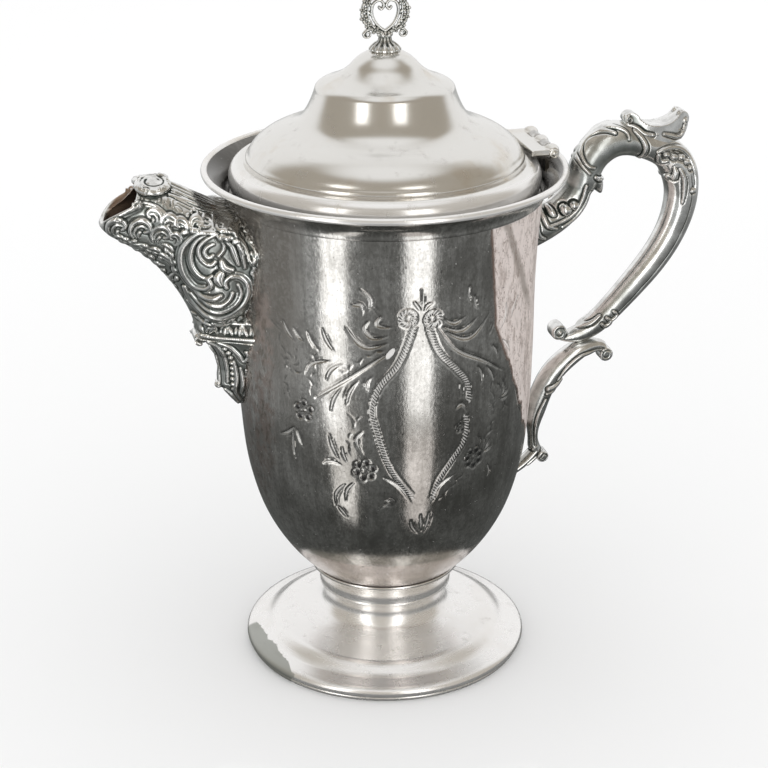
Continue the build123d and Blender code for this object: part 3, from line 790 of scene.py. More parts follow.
def flaredRim():
    outer = profile(
        [
            [(60.35, 192.1), (60.9, 192.3)],
            [(60.9, 192.3), (61.3, 194.8), (63.2, 197.7), (65.7, 199.9), (68.6, 201.5)],
        ],
        0.5,
    )
    inner = offsetLine(outer, 1.2)[::-1]
    inner[-1] = (59.2, 192.1)
    grid, faces = turned(np.vstack([outer, inner]), 320)
    # painted shade inside the flare: all round but for the front, and darkest at the hinge and the left
    x, y = grid[..., 0], grid[..., 1]
    within = np.arange(len(grid))[:, None] >= len(outer)
    turn = np.arctan2(y, x)
    hinge = np.exp(-((turn / 0.42) ** 2))
    leftward = 1.1 * np.exp(-(((abs(turn) - pi) / 0.9) ** 2))
    grime = within * np.clip(0.2 + hinge + leftward, 0, 1)
    makePiece("flare", [(grid, faces, {"grime": grime})], "pot", aged, ["flared_rim"])


def rimWire():
    turn = np.linspace(0, 2 * pi, 20, endpoint=False)
    ring = np.column_stack([68.6 + 1.3 * np.cos(turn), 201.9 + 1.3 * np.sin(turn)])
    makePiece("rimWire", [turned(ring, 360)], "pot", bright, ["rim_wire"])


def pedestalFoot():
    edge = [
        (55.8, 2.2), (56.9, 2.2), (57.4, 3.4), (57, 4.7), (55.6, 5.6), (53.6, 6.2), (51.6, 6.8),
        (50.2, 7.2),
    ]
    step = [(50.2, 7.2), (48.4, 8.2), (46.5, 9.6), (44.9, 10.6), (43.4, 11.2)]
    cove = [
        (43.4, 11.2), (40.2, 11.6), (36, 12.3), (30, 13.8), (25.7, 16.2), (23.8, 19.4), (23.5, 22.6),
        (24.4, 25.2),
    ]
    disc = [(24.4, 25.2), (26.2, 25.7), (26.9, 26.3), (26.9, 27.2), (0, 27.2)]
    outer = profile([edge, step, cove], 0.4, 0.5)
    inside = smoothPath(
        [
            (0, 26), (12, 26), (22, 25.9), (23, 25), (22.3, 22.6), (22.5, 19.2), (24.6, 15.3),
            (29.4, 12.5), (36, 10.9), (44, 9), (50, 6.4), (55, 3.8), (55.8, 2.2),
        ],
        4,
    )
    outline = np.vstack([inside, outer[1:], evenPath(np.array(disc, float), 1.0)[1:]])
    makePiece("foot", [turned(outline, 288)], "pot", bright, ["pedestal_foot"])


def footEdgeWire():
    outer = [(53.2, 0.02), (55.6, 0.02), (56.2, 0.6), (56.4, 1.1), (56.2, 1.7), (55.6, 2.2), (53.2, 2.2)]
    outline = evenPath(smoothPath(outer, 3), 0.3)
    outline[:, 1] = np.maximum(outline[:, 1], 0.0)
    makePiece("footWire", [turned(outline, 300)], "pot", bright, ["foot_edge_wire"])


def footCollar():
    low = [(26.9, 27.2), (26.8, 28.2)]
    waist = [(26.8, 28.2), (26.9, 30.4), (27.8, 32.6), (29.2, 34.4)]
    high = [(29.2, 34.4), (30.1, 35.0), (30.4, 35.8), (30.1, 36.5)]
    outer = profile([low, waist, high], 0.25, 0.35)
    outline = np.vstack([outer, [(28.6, 36.55), (25.4, 36.55), (25.4, 32), (25.4, 27.2), (27, 27.2)]])
    makePiece("collar", [turned(outline, 300)], "pot", bright, ["foot_collar"])


def lidCover():
    foot = [(58.2, 194), (58.9, 195.4), (59.3, 197)]
    band = [(59.3, 197), (59.5, 200.3), (58.3, 203.5), (55.8, 205.2), (53.6, 205.3)]
    groove = [(53.6, 205.3), (53, 204.9), (52.6, 205.3)]
    bead = [(52.6, 205.3), (53, 206.1), (52.8, 207.2), (52, 208.0)]
    dome = [
        (52, 208), (51.6, 208.9), (50, 211.2), (46.4, 214.2), (41.8, 216.5), (36.4, 218.6),
        (32.2, 221.2), (29.9, 224.2), (28, 228), (26.5, 232),
    ]
    cap = [
        (26.5, 232), (26.1, 233.3), (25.2, 234.2), (21.2, 235.9), (17, 238), (13.6, 240.6), (11.4, 243),
        (8.7, 245.1), (5.7, 246.4), (1.6, 246.4),
    ]
    outer = profile([foot, band, groove, bead, dome, cap], 0.6, 0.45)
    makePiece(
        "lid", [turned(sheetOutline(outer[::-1], 3.0), 256)], "lid", bright,
        ["lid_cover"],
    )


flaredRim()
rimWire()
pedestalFoot()
footEdgeWire()
footCollar()
lidCover()
print("spun pieces made")


# Engraving of the cup, on the cylinder unrolled: arc from the front in mm, height and half
# width of each graver's cut


# outlines of a small flower's centre and petals
def flowerCuts(s, z, radius, petals=5, width=0.5, turn=0.3):
    def ring(middleS, middleZ, size):
        turns = np.linspace(0.2, 2 * pi - 0.1, 8)
        return [(middleS + size * cos(t), middleZ + size * sin(t), width) for t in turns]

    cuts = [ring(s, z, 0.24 * radius)]
    for i in range(petals):
        a = turn + 2 * pi * i / petals
        cuts.append(ring(s + 0.68 * radius * cos(a), z + 0.68 * radius * sin(a), 0.30 * radius))
    return cuts


# the dark hollows inside the petals
def petalHollows(s, z, radius, petals=5, turn=0.3):
    hollows = []
    for i in range(petals):
        a = turn + 2 * pi * i / petals
        place = (s + 0.66 * radius * cos(a), z + 0.66 * radius * sin(a), 0.24 * radius)
        hollows.append([place, (place[0] + 0.1, place[1], place[2])])
    return hollows


# a fan of tapering cuts from one point, from angle `first` to `last` in degrees
def fanCuts(s, z, length, first, last, count, bend=0.25, width=0.6):
    cuts = []
    for i in range(count):
        a = radians(first + (last - first) * i / max(1, count - 1))
        b = a + bend
        tip = length * (0.8 + 0.2 * sin(3 * i))
        start = (s + 0.25 * tip * cos(a), z + 0.25 * tip * sin(a), width * 0.35)
        middle = (s + 0.65 * tip * cos(b), z + 0.65 * tip * sin(b), width)
        cuts.append([start, middle, (s + tip * cos(b + bend), z + tip * sin(b + bend), width * 0.3)])
    return cuts


def tapered(points, width=0.5):
    steps = np.linspace(0, 1, len(points))
    return [
        (s, z, width * (0.3 + 0.7 * sin(pi * min(1, 0.15 + 0.85 * t)))) for (s, z), t in zip(points, steps)
    ]


# the same cut shifted sideways, thinner and shorter, as the second stroke of a leaf
def companion(points, shift=1.3, width=0.36):
    line = offsetLine(evenPath(smoothPath(points, 6), 1.0), shift)
    line = line[len(line) // 5: -max(1, len(line) // 5)]
    return tapered(line[:: max(1, len(line) // 4)], width) if len(line) > 2 else None


leftBorder = [
    (-3.7, 158.6), (-9.9, 143.2), (-16.5, 134.5), (-19, 126), (-16.8, 115.6), (-11.8, 101.4), (-3.4, 89),
]
rightBorder = [(1.9, 158.1), (6.7, 146.8), (13, 139.8), (17.8, 133.5), (18.8, 126)]
lowBorder = [(17.4, 120), (18.1, 117), (17, 109.5), (12, 102.4), (6.5, 93.8), (4.9, 87)]
borderEnds = [(-5.9, 161.9), (3.6, 160.9)]
# cuts read off three enlarged crops of the photograph: each crop's corner in the
# photograph and its enlargement, then the points of each cut in the crop's own pixels
crops = {
    "left": {"corner": (250, 280), "scale": 7.127},
    "low": {"corner": (310, 440), "scale": 7.467},
    "right": {"corner": (400, 260), "scale": 9.225},
}
cutsRead = {
    "left": {
        "fan1": [(155, 290), (248, 390)],
        "fan2": [(235, 285), (270, 370), (330, 445)],
        "fan3": [(310, 340), (345, 400), (390, 440)],
        "fan4": [(412, 370), (440, 440), (500, 505)],
        "fan5": [(515, 350), (550, 440), (610, 520)],
        "under1": [(400, 670), (430, 610), (590, 580)],
        "under2": [(545, 710), (570, 650), (670, 600)],
        "low1": [(575, 930), (590, 860), (665, 760)],
        "low2": [(690, 880), (700, 820), (775, 720)],
        "low3": [(835, 790), (835, 740), (870, 690)],
        "tail1": [(310, 1045), (260, 1080), (210, 1085)],
        "tail2": [(300, 1060), (300, 1180), (320, 1300)],
        "tail3": [(330, 1060), (350, 1130), (375, 1190)],
        "crescent1": [(560, 1100), (585, 1190), (630, 1285)],
        "crescent2": [(650, 1190), (660, 1250), (685, 1300)],
        "crescent3": [(515, 1300), (560, 1290), (650, 1320)],
        "hook": [(795, 1085), (760, 1120), (805, 1250)],
        "wing1": [(845, 300), (815, 350), (860, 410), (990, 400)],
        "wing2": [(935, 265), (905, 310), (1010, 340)],
        "wing3": [(685, 340), (820, 480), (990, 450)],
        "plume1": [(790, 70), (865, 160), (840, 230)],
        "plume2": [(730, 180), (790, 185), (800, 260)],
        "plume3": [(870, 190), (920, 260)],
    },
    "low": {
        "claw1": [(240, 325), (170, 390), (160, 480)],
        "claw2": [(310, 320), (255, 370), (245, 460)],
        "claw3": [(180, 490), (210, 530), (245, 575)],
        "leaf": [(545, 280), (640, 330), (750, 470)],
        "rise1": [(915, 450), (930, 390), (1100, 235)],
        "rise2": [(960, 440), (1010, 405)],
        "comma": [(1330, 170), (1345, 230), (1325, 290)],
    },
    "right": {
        "fleur1": [(200, 270), (205, 480)],
        "fleur2": [(130, 390), (165, 430), (195, 480)],
        "fleur3": [(300, 400), (260, 420), (225, 480)],
        "stem": [(345, 625), (500, 810), (780, 930), (960, 1020)],
        "wing1": [(415, 550), (510, 580), (600, 515)],
        "wing2": [(405, 620), (560, 650), (715, 520)],
        "wing3": [(430, 665), (630, 720), (820, 490)],
        "wing4": [(830, 670), (875, 550)],
        "plume1": [(640, 240), (635, 310), (655, 400)],
        "plume2": [(690, 330), (700, 410), (720, 450)],
        "drop1": [(855, 790), (890, 840), (900, 900)],
        "drop2": [(945, 735), (990, 780), (1015, 850)],
        "claw1": [(720, 980), (755, 1060), (745, 1150)],
        "claw2": [(800, 980), (850, 1060), (870, 1160)],
        "pair1": [(545, 1150), (550, 1270)],
        "pair2": [(580, 1160), (580, 1260)],
        "loop": [(520, 1370), (560, 1330), (620, 1400)],
        "reed1": [(980, 400), (975, 520), (930, 640)],
        "reed2": [(1090, 330), (1050, 430), (1030, 540)],
        "tail": [(1060, 1150), (1080, 1280), (1110, 1400)],
    },
}
# the long stem and the three short blades under the panel, given one by one
handCuts = [
    [(-40.7, 128.5), (-27.8, 137.9), (-18, 145), (-9.3, 150.9)],
    [(0.5, 80.3), (0.9, 76), (1.5, 71.7)],
    [(4.2, 81), (3.6, 76), (2.3, 70.9)],
    [(-3.6, 78), (-2.6, 74.5), (0.2, 71.2)],
]


# the camera's place and the directions of its rays through pixels of the photograph
def photoRays(pixels):
    down, turn = radians(view["down"]), radians(view["turn"])
    right = np.array((cos(turn), sin(turn), 0))
    ahead = np.array((-sin(turn) * cos(down), cos(turn) * cos(down), -sin(down)))
    up = np.array((-sin(turn) * sin(down), cos(turn) * sin(down), cos(down)))
    focal = view["lens"] / view["sensor"] * view["pixels"]
    offset = (np.array(pixels, float) - view["pixels"] / 2) / focal
    return np.array(view["place"]), ahead + offset[:, :1] * right - offset[:, 1:] * up


# where the photograph's pixels lie on an upright plane along the pot, y mm behind its middle
def onPlane(pixels, y):
    place, ray = photoRays(pixels)
    reach = (y - place[1]) / ray[:, 1]
    return np.column_stack([place[0] + reach * ray[:, 0], place[2] + reach * ray[:, 2]])


# where the photograph's pixels lie on the cup, as (arc, height): each ray is cut with an upright
# cylinder, whose radius is then set to the cup's own at that height, and a few rounds settle it
def onCup(pixels, rounds=20):
    place, ray = photoRays(pixels)
    curve = np.array(bowlCurve, float)
    radius = np.full(len(ray), 58.0)
    across = (ray[:, :2] ** 2).sum(1)
    toward = (ray[:, :2] * place[:2]).sum(1)
    for _ in range(rounds):
        beyond = (place[:2] ** 2).sum() - radius**2
        reach = (-toward - np.sqrt(toward**2 - across * beyond)) / across
        points = place + reach[:, None] * ray
        radius = np.interp(points[:, 2], curve[:, 1], curve[:, 0])
    return np.column_stack([np.arctan2(points[:, 0], -points[:, 1]) * radius, points[:, 2]])


def leafCuts():
    cuts = []
    for crop, strokes in cutsRead.items():
        corner, scale = np.array(crops[crop]["corner"]), crops[crop]["scale"]
        for points in strokes.values():
            cuts.append(onCup(corner + np.array(points) / scale))
    return cuts + handCuts


# comma cuts to both sides of a stem, which grow and shrink along it
def sprayCuts(stem, count, length, width=0.42, lean=34):
    path = evenPath(smoothPath(stem, 8), 0.5)
    slope = unit(np.gradient(path, axis=0))
    cuts = []
    for i in range(count):
        k = int((len(path) - 1) * (i + 0.5) / count)
        side = (-1) ** i
        reach = length * (0.75 + 0.35 * sin(2.3 * i + 1))
        heading = np.arctan2(slope[k, 1], slope[k, 0]) + side * radians(lean + 9 * sin(1.7 * i))
        points = []
        for t in (0.3, 0.65, 1.05, 1.5):
            a = heading - side * 0.7 * t
            points.append((path[k, 0] + reach * t * cos(a), path[k, 1] + reach * t * sin(a)))
        cuts.append(tapered(points, width))
    return cuts


sprays = [
    ([(-50, 124), (-54, 131), (-53.5, 139), (-56.5, 147)], 7, 4.8),
    ([(-41, 126.5), (-42.5, 134), (-40.5, 142), (-42, 149)], 6, 4.4),
    ([(-24.5, 104.5), (-27.5, 110.5), (-26.8, 117), (-23.4, 123)], 5, 4.2),
    ([(25.5, 105), (30, 112), (31.5, 120), (30, 127)], 7, 5.4),
    ([(19, 98), (14.5, 92.5), (9, 88.2)], 5, 4.0),
    ([(36, 134.5), (38, 126), (37.4, 118)], 5, 4.8),
    ([(-13, 150.5), (-21, 146.8), (-28.5, 141)], 7, 3.0),
]
flowers = [(-45.9, 122.3, 4.5, 5), (-22, 100.7, 4.9, 6), (22.3, 101.4, 4.7, 7), (15.5, 116, 2.4, 5)]


def engravingCuts():
    leaves = leafCuts()
    cuts = [tapered(points, 0.8) for points in leaves]
    for stem, count, length in sprays:
        cuts += sprayCuts(stem, count, length)
    cuts += [cut for cut in (companion(points) for points in leaves) if cut]
    for flower in flowers:
        cuts += flowerCuts(*flower)
    cuts += fanCuts(-51, 140, 6, 20, 330, 7, 0.5, 0.45) + fanCuts(-9.5, 84.5, 8, 95, 150, 4, 0.3)
    cuts += fanCuts(25, 103, 9, -20, 70, 4, 0.3) + fanCuts(34, 124, 8, -60, 60, 5, 0.4)
    for (s, z), side in zip(borderEnds, (-1, 1)):
        for size in (3.6, 1.5):
            turns = np.linspace(0.4, 5.6, 9)
            ring = [(s + side * size * cos(t), z + size * sin(t), 0.42) for t in turns]
            cuts.append(ring)
    for border in (leftBorder, rightBorder, lowBorder):
        line = evenPath(smoothPath(border, 8), 1.0)
        for shift in (-1.25, 1.25):
            edge = offsetLine(line, shift)
            cuts.append([(s, z, 0.42) for s, z in edge[::2]])
    return cuts


# where the borders run and how far along them each point is, for the cross cuts between
# their two lines; the cuts slant, so the distance grows with the offset
def borderFields(s, z):
    band, along = np.zeros(s.shape), np.zeros(s.shape)
    rings = [
        [
            (s0 + 2.55 * cos(t), z0 + 2.55 * sin(t)) for t in np.linspace(0, 2 * pi, 13)
        ] for s0, z0 in borderEnds
    ]
    for border in [leftBorder, rightBorder, lowBorder] + rings:
        line = evenPath(smoothPath(border, 8), 0.25)
        slope = unit(np.gradient(line, axis=0))
        near = np.flatnonzero((abs(s - line[:, 0].mean()) < 16) & (abs(z - line[:, 1].mean()) < 40))
        away = np.stack([s[near, None] - line[:, 0], z[near, None] - line[:, 1]], -1)
        gap = np.linalg.norm(away, axis=-1)
        best = gap.argmin(1)
        each = np.arange(len(near))
        inside = near[gap[each, best] < 1.6]
        keep = gap[each, best] < 1.6
        offset = (away[each, best] * slope[best][:, ::-1] * (1, -1)).sum(1)
        band[inside] = 1 - smoothStep(gap[each, best][keep], 0.8, 1.15)
        along[inside] = best[keep] * 0.25 + offset[keep] * 0.5
    return band, along


# half of the cup, from arc -90 to 90 degrees of the front, turned by `facing` degrees
def cupHalf(name, facing):
    look = {"fine": 0.45, "depth": 0.34, "holeLow": 150.0, "holeHigh": 180.0, "holeHalf": 11.8}
    holeHigh = look["holeHigh"]
    radius = 58.0
    half = radius * pi / 2
    ease = np.array([0, 0.3, 0.9, 2.0])
    s = np.concatenate(
        [
            ease - half,
            np.arange(-half + 4, -64, 2.0),
            np.arange(-64, 52, look["fine"]),
            np.arange(52, half - 3.5, 2.2),
            half - ease[::-1],
        ]
    )
    curve = smoothPath(bowlCurve, 12)
    z = np.concatenate(
        [
            np.arange(37, 66, 1.3), np.arange(66, 177, look["fine"]), [holeHigh],
            np.arange(183, 192, 1.3), [192],
        ]
    )
    r = np.interp(z, curve[:, 1], curve[:, 0])
    holeLow = z[np.argmin(abs(z - look["holeLow"]))]
    insideZ = np.array(
        [
            191.99, 186, holeHigh, 176, 168, 160, holeLow, 140, 130, 118, 105, 92, 80, 70, 62, 55, 50,
            46, 42.5, 40, 38.6,
        ]
    )
    insideR = np.interp(insideZ - 0.4, curve[:, 1], curve[:, 0]) - wall
    floorUp = [(30, 37.8), (22, 37.8), (12, 37.8), (0, 37.8)]
    rows = np.vstack(
        [
            [(0, 36.6), (12, 36.6), (24, 36.6), (29.6, 36.65)], np.column_stack([r, z]),
            np.column_stack([insideR, insideZ]), floorUp,
        ]
    )
    first = 4
    fine = np.flatnonzero((z >= 61) & (z <= 179)) + first
    grid = np.repeat(rows[:, None, :], len(s), 1)
    cut = np.zeros(grid.shape[:2])
    band = np.zeros(grid.shape[:2])
    along = np.zeros(grid.shape[:2])
    shade = np.zeros(grid.shape[:2])
    gridS, gridZ = np.meshgrid(s, rows[fine, 1])
    field = strokeField(gridS.ravel(), gridZ.ravel(), engravingCuts(), 1.0, 1.0)
    cut[fine] = np.clip(field / 0.6, 0, 1).reshape(gridS.shape)
    hollows = [hollow for s0, z0, size, petals in flowers for hollow in petalHollows(s0, z0, size, petals)]
    field = strokeField(gridS.ravel(), gridZ.ravel(), hollows, 1.0, 1.0)
    shade[fine] = smoothStep(field, 0.05, 0.5).reshape(gridS.shape)
    for field, made in zip((band, along), borderFields(gridS.ravel(), gridZ.ravel())):
        field[fine] = made.reshape(gridS.shape)
    grid[..., 0] -= cut * look["depth"] * (grid[..., 0] > 1)
    turn = s / radius + radians(facing)
    points = np.stack([grid[..., 0] * np.sin(turn), -grid[..., 0] * np.cos(turn), grid[..., 1]], -1)
    # the pouring hole behind the spout: one edge of it is the half's own edge
    wide = len(s)
    a, b = first + int(np.argmin(abs(z - holeLow))), first + int(np.argmin(abs(z - holeHigh)))
    c, d = (first + len(z) + int(np.flatnonzero(insideZ == level)[0]) for level in (holeHigh, holeLow))
    edge, plain = (0, wide - 1) if facing == 0 else (wide - 1, 0)
    far = int(np.argmin(abs(abs(s - s[edge]) - look["holeHalf"])))
    columns = range(min(edge, far), max(edge, far))
    faces = gridFaces(len(rows), wide)
    row, column = faces[:, 0] // wide, faces[:, 0] % wide
    hole = np.isin(column, columns) & (((row >= a) & (row < b)) | ((row >= c) & (row < d)))
    faces = faces[~hole].tolist()
    faces.append([r * wide + far for r in [*range(a, b + 1), *range(c, d + 1)]])
    for outer, inner in ((a, d), (b, c)):
        faces += [
            [outer * wide + i, outer * wide + i + 1, inner * wide + i + 1, inner * wide + i] for i in columns
        ]
    faces.append([r * wide + plain for r in range(len(rows))])
    faces.append([r * wide + edge for r in [*range(0, a + 1), *range(d, len(rows))]])
    faces.append([r * wide + edge for r in range(b, c + 1)])
    values = {"cut": cut.ravel(), "band": band.ravel(), "along": along.ravel(), "shade": shade.ravel()}
    return makePiece(
        name, [(points.reshape(-1, 3), faces, values)], "pot", aged, ["body_shell"], 35,
    )


cupHalf("cupFront", 0)
cupHalf("cupBack", 180)
print("cup engraved")


# Spout


# small leaves along a path, to both sides of it, with uneven size and lean
def leaflets(path, count, length, width, lean=50, seed=0.0):
    line = evenPath(smoothPath(path, 8), 0.3)
    slope = unit(np.gradient(line, axis=0))
    strokes = []
    for i in range(count):
        k = int((len(line) - 1) * (i + 0.5) / count)
        side = (-1) ** i
        reach = length * (0.8 + 0.4 * sin(2.7 * i + seed))
        heading = np.arctan2(slope[k, 1], slope[k, 0]) + side * radians(lean + 14 * sin(1.9 * i + seed))
        points = []
        for t, w in ((0.0, 0.5), (0.45, 1.0), (0.8, 0.9), (1.1, 0.4)):
            a = heading - side * 0.7 * t
            points.append((line[k, 0] + reach * t * cos(a), line[k, 1] + reach * t * sin(a), width * w))
        strokes.append(points)
    return strokes


# a curled leaf lobe on its foot at (u, v): a thick edge that rises, turns over and hooks in,
# with thinner folds that follow it inside; a negative width turns it the other way
def lobe(u, v, wide, tall, lean=0.0, folds=2, width=0.75):
    turn = radians(lean)
    hook = [
        (-0.30, -0.1, 0.5), (-0.50, 0.35, 0.9), (-0.36, 0.80, 1.1), (0.02, 1.0, 1.3), (0.36, 0.82, 1.1),
        (0.44, 0.50, 0.9), (0.22, 0.32, 0.7),
    ]
    strokes = []
    for i in range(folds + 1):
        size = 1 - 0.30 * i
        line = hook[: len(hook) - 2 * i]
        stroke = []
        for a, b, thick in line:
            a, b = (a * size + 0.05 * i) * wide, (b * size - 0.02 * i) * tall
            stroke.append(
                (
                    u + a * cos(turn) + b * sin(turn), v - a * sin(turn) + b * cos(turn),
                    thick * width * (0.62 if i else 1.0),
                )
            )
        strokes.append(stroke)
    return strokes


# a thinner ridge beside a stroke, over its middle part
def beside(stroke, shift, width):
    line = offsetLine(evenPath(smoothPath(stroke, 6), 0.8)[:, :2], shift)
    line = line[len(line) // 8: -(len(line) // 8)]
    return [(u, v, width) for u, v in line[::2]]


# strokes on both sides, in (x, z, half width)
def spoutSideStrokes():
    strokes = [
        [
            (-68.9, 187, 0.8), (-74.7, 186.6, 1.0), (-77.9, 183.9, 1.1), (-80.2, 180.4, 1.2),
            (-81, 175.9, 1.2), (-80.6, 171.5, 1.2), (-78.8, 166.7, 1.1), (-75.6, 163.3, 1.0),
            (-72.3, 163.6, 0.9), (-70.7, 165.7, 0.9), (-71.6, 167.6, 0.9),
        ],
        [
            (-72.5, 186, 0.6), (-75.6, 183.4, 0.8), (-77.3, 179.1, 0.9), (-77.1, 173.2, 0.9),
            (-75.3, 169.7, 0.9), (-72.4, 167.9, 0.8), (-70.4, 169.2, 0.6),
        ],
        [
            (-68.9, 186.3, 0.5), (-72.5, 184.1, 0.7), (-74.7, 180.6, 0.8), (-74.6, 177.4, 0.8),
            (-73.2, 174.9, 0.8), (-70.9, 173.7, 0.8), (-69.2, 175.2, 0.7),
        ],
        [(-69.5, 182.5, 0.5), (-72, 181, 0.7), (-72.8, 178.6, 0.8), (-71.5, 176.8, 0.8), (-70, 177.8, 0.7)],
        [
            (-79.4, 162.5, 0.8), (-77.1, 157.1, 1.0), (-73.8, 153.5, 1.1), (-68.9, 151.5, 1.1),
            (-64.5, 152.4, 1.1), (-60.5, 155.2, 1.1), (-57.9, 159.3, 1.1), (-57.2, 163.7, 1.0),
            (-58.1, 167.1, 1.0), (-60.6, 169.3, 1.0), (-63.7, 169.2, 0.9), (-65.6, 167.1, 0.9),
            (-65.2, 164.8, 0.8),
        ],
        [
            (-77.4, 160, 0.6), (-73.3, 155.7, 0.8), (-68.9, 154.2, 0.9), (-64.5, 155.4, 0.9),
            (-61, 158.4, 0.8), (-59.8, 162.5, 0.7), (-61, 166, 0.6),
        ],
        [(-74.5, 159.5, 0.6), (-71, 157.2, 0.9), (-67.5, 157, 0.9), (-64.4, 159.2, 0.8), (-63, 162.5, 0.7)],
        [(-76.5, 164, 0.7), (-74.2, 160.6, 1.1), (-70.5, 159.8, 1.2), (-67.4, 161.3, 0.9)],
        [(-67, 170.5, 1.4), (-67.9, 168.4, 1.9), (-67.2, 166.4, 1.2)],
        [(-66.8, 175.5, 1.0), (-65.6, 172.8, 1.5), (-63.2, 172.2, 1.0)],
        [(-66.2, 184.5, 0.6), (-63.4, 182, 1.0), (-62, 178.2, 1.1), (-60.8, 174.4, 0.7)],
        [(-63.2, 185.5, 0.5), (-60.7, 182, 0.9), (-59.4, 177.5, 0.9), (-58.5, 173, 0.6)],
        [(-60.3, 186, 0.5), (-58.3, 181.5, 0.8), (-57.3, 176.5, 0.7)],
        [(-70.5, 188, 0.5), (-66, 180.5, 0.7), (-67.8, 177.8, 0.8)],
        [(-78.4, 150, 0.5), (-72, 148.4, 0.6), (-64, 148, 0.6), (-56, 148.4, 0.5)],
        [(-76.2, 143.2, 0.8), (-72, 142.4, 0.9), (-64, 142.2, 0.9), (-53, 142.8, 0.8)],
        [(-75.9, 140.9, 0.7), (-70, 140.2, 0.7), (-62, 140, 0.7), (-52, 140.5, 0.6)],
    ]
    for stroke, shifts in (
        (strokes[0], (-1.5, 1.3)), (strokes[1], (-1.2,)), (strokes[4], (-1.5, 1.4)),
        (strokes[5], (1.3,)),
    ):
        strokes = strokes + [beside(stroke, shift, 0.45) for shift in shifts]
    # leaf tufts above the border, leaning both ways
    for i in range(9):
        x = -76.0 + 2.6 * i
        lean = 1.7 * (-1) ** i + 0.8 * sin(3 * i)
        strokes.append([(x, 144.2, 0.5), (x + 0.5 * lean, 146.0, 0.85), (x + 1.3 * lean, 148.2, 0.4)])
        strokes.append([(x + 1.2, 144.6, 0.4), (x + 1.2 - 0.5 * lean, 146.6, 0.5)])
    # lobes of the lip's leaf, the leaf behind the small scroll, and the knobs over the big one
    for lobes in (
        ((-102.4, 184.0, 7.0, 7.0, -14, 2, 0.9), (-95.2, 183.6, 7.4, 7.2, 6, 2, 0.95),
        (-88.6, 182.0, 6.4, 6.8, 16, 2, 0.85)),
        ((-91.4, 190.0, -5.6, 5.4, 28, 2, 0.75), (-85.4, 187.6, 5.4, 5.8, 12, 2, 0.8),
        (-80.4, 187.4, -4.6, 4.8, -8, 1, 0.75)),
        ((-75.6, 188.2, 4.6, 4.2, 14, 1, 0.8), (-71.2, 187.6, -4.2, 4.4, -6, 1, 0.7),
        (-67.2, 187.4, 4.4, 4.6, 8, 1, 0.8)),
        ((-63.0, 186.0, -4.2, 4.6, 4, 1, 0.7), (-58.8, 185.4, 4.2, 4.4, 10, 1, 0.75),
        (-83.8, 181.6, -4.4, 4.6, 24, 1, 0.7)),
    ):
        for values in lobes:
            strokes += lobe(*values)
    for x, z, size in (
        (-79.4, 186.6, 1.2), (-76.2, 187.6, 1.3), (-66.4, 185.2, 1.4), (-64.2, 184.9, 1.3),
        (-61.6, 183.8, 1.2),
    ):
        strokes.append([(x - 0.5, z, size), (x + 0.5, z + 0.3, size * 0.8)])
    for i in range(4):
        strokes.append(
            [
                (-93.6 + 1.1 * i, 197.4 - 1.1 * i, 0.4),
                (-89.4 + 1.2 * i, 196.4 - 1.4 * i, 0.6),
                (-86.2 + 1.2 * i, 194.0 - 1.3 * i, 0.5),
            ]
        )
    strokes += leaflets([(-105, 183.6), (-98, 181.4), (-91.6, 178.6), (-86, 174)], 13, 4.0, 0.85, 48)
    strokes += leaflets(
        [(-99.5, 179.4), (-93, 175.4), (-87.6, 169.4), (-83.6, 162), (-80.8, 154)], 17, 4.2, 0.85, 40,
        1.4,
    )
    strokes += leaflets([(-88, 181.6), (-84.8, 177.4), (-83.2, 171.6), (-82.4, 165.4)], 9, 3.8, 0.75, 44, 1.0)
    strokes += leaflets([(-56.2, 183), (-56, 176), (-55.6, 169)], 7, 3.6, 0.7, 40, 2.0)
    strokes += leaflets([(-55.8, 165), (-55.6, 157), (-58, 150.6)], 7, 3.2, 0.7, 45, 3.0)
    strokes += leaflets([(-77.6, 150.4), (-70, 149.4), (-62, 149.2), (-55, 149.8)], 11, 2.6, 0.7, 60, 4.0)
    return strokes


# strokes on the top, in (x, distance from the middle, half width)
def spoutTopStrokes():
    strokes = [
        [(-84, 2.6, 0.5), (-79, 3.4, 0.8), (-73, 3.0, 0.8), (-66, 1.4, 0.5)],
        [(-83.4, 5.4, 0.5), (-78.4, 6, 0.8), (-72, 5.4, 0.9), (-66, 3.8, 0.8), (-60.5, 2.6, 0.5)],
        [(-83.6, 8, 0.5), (-78.6, 8.8, 0.8), (-72.4, 8.4, 0.9), (-67, 6.8, 0.7)],
        [(-96, 9.4, 0.7), (-90, 11.8, 0.9), (-82, 14.8, 1.0), (-75, 17.4, 0.9)],
        [(-66, 21.2, 0.6), (-60, 23.2, 0.8), (-55, 25, 0.8), (-52.6, 25.8, 0.6)],
        [(-86, 0, 0.9), (-78, 0, 1.0), (-66, 0, 0.7)],
    ]
    # veins from the volute to the body, and the lobes of the leaf that lies over the shoulder
    for i in range(8):
        y = 1.6 + 1.25 * i
        strokes.append(
            [
                (-84.5 + 0.5 * i, y, 0.35), (-77 + 0.4 * i, y * 1.12 + 0.6, 0.5),
                (-68 + 0.6 * i, y * 1.2 - 0.6, 0.5), (-59, y * 1.5 - 1.0, 0.35),
            ]
        )
    for x, y, wide, tall, lean in (
        (-93.2, 6.6, 4.6, 4.6, -12), (-88.0, 8.4, -5.4, 5.2, 8), (-82.6, 10.2, 5.8, 5.6, -6),
        (-76.8, 12.0, -5.6, 5.2, 10),
        (-71.4, 13.4, 5.8, 5.4, -4), (-65.8, 14.8, -5.4, 5.2, 8), (-60.8, 16.4, 5.2, 5.4, -5),
        (-56.2, 18.0, -4.6, 5.0, 8),
    ):
        strokes += lobe(x, y, wide, tall, lean, 2, 0.7)
    strokes += leaflets([(-70, 8.4), (-63, 7.2), (-55, 6.6)], 7, 3.6, 0.6, 40, 1.0)
    return strokes


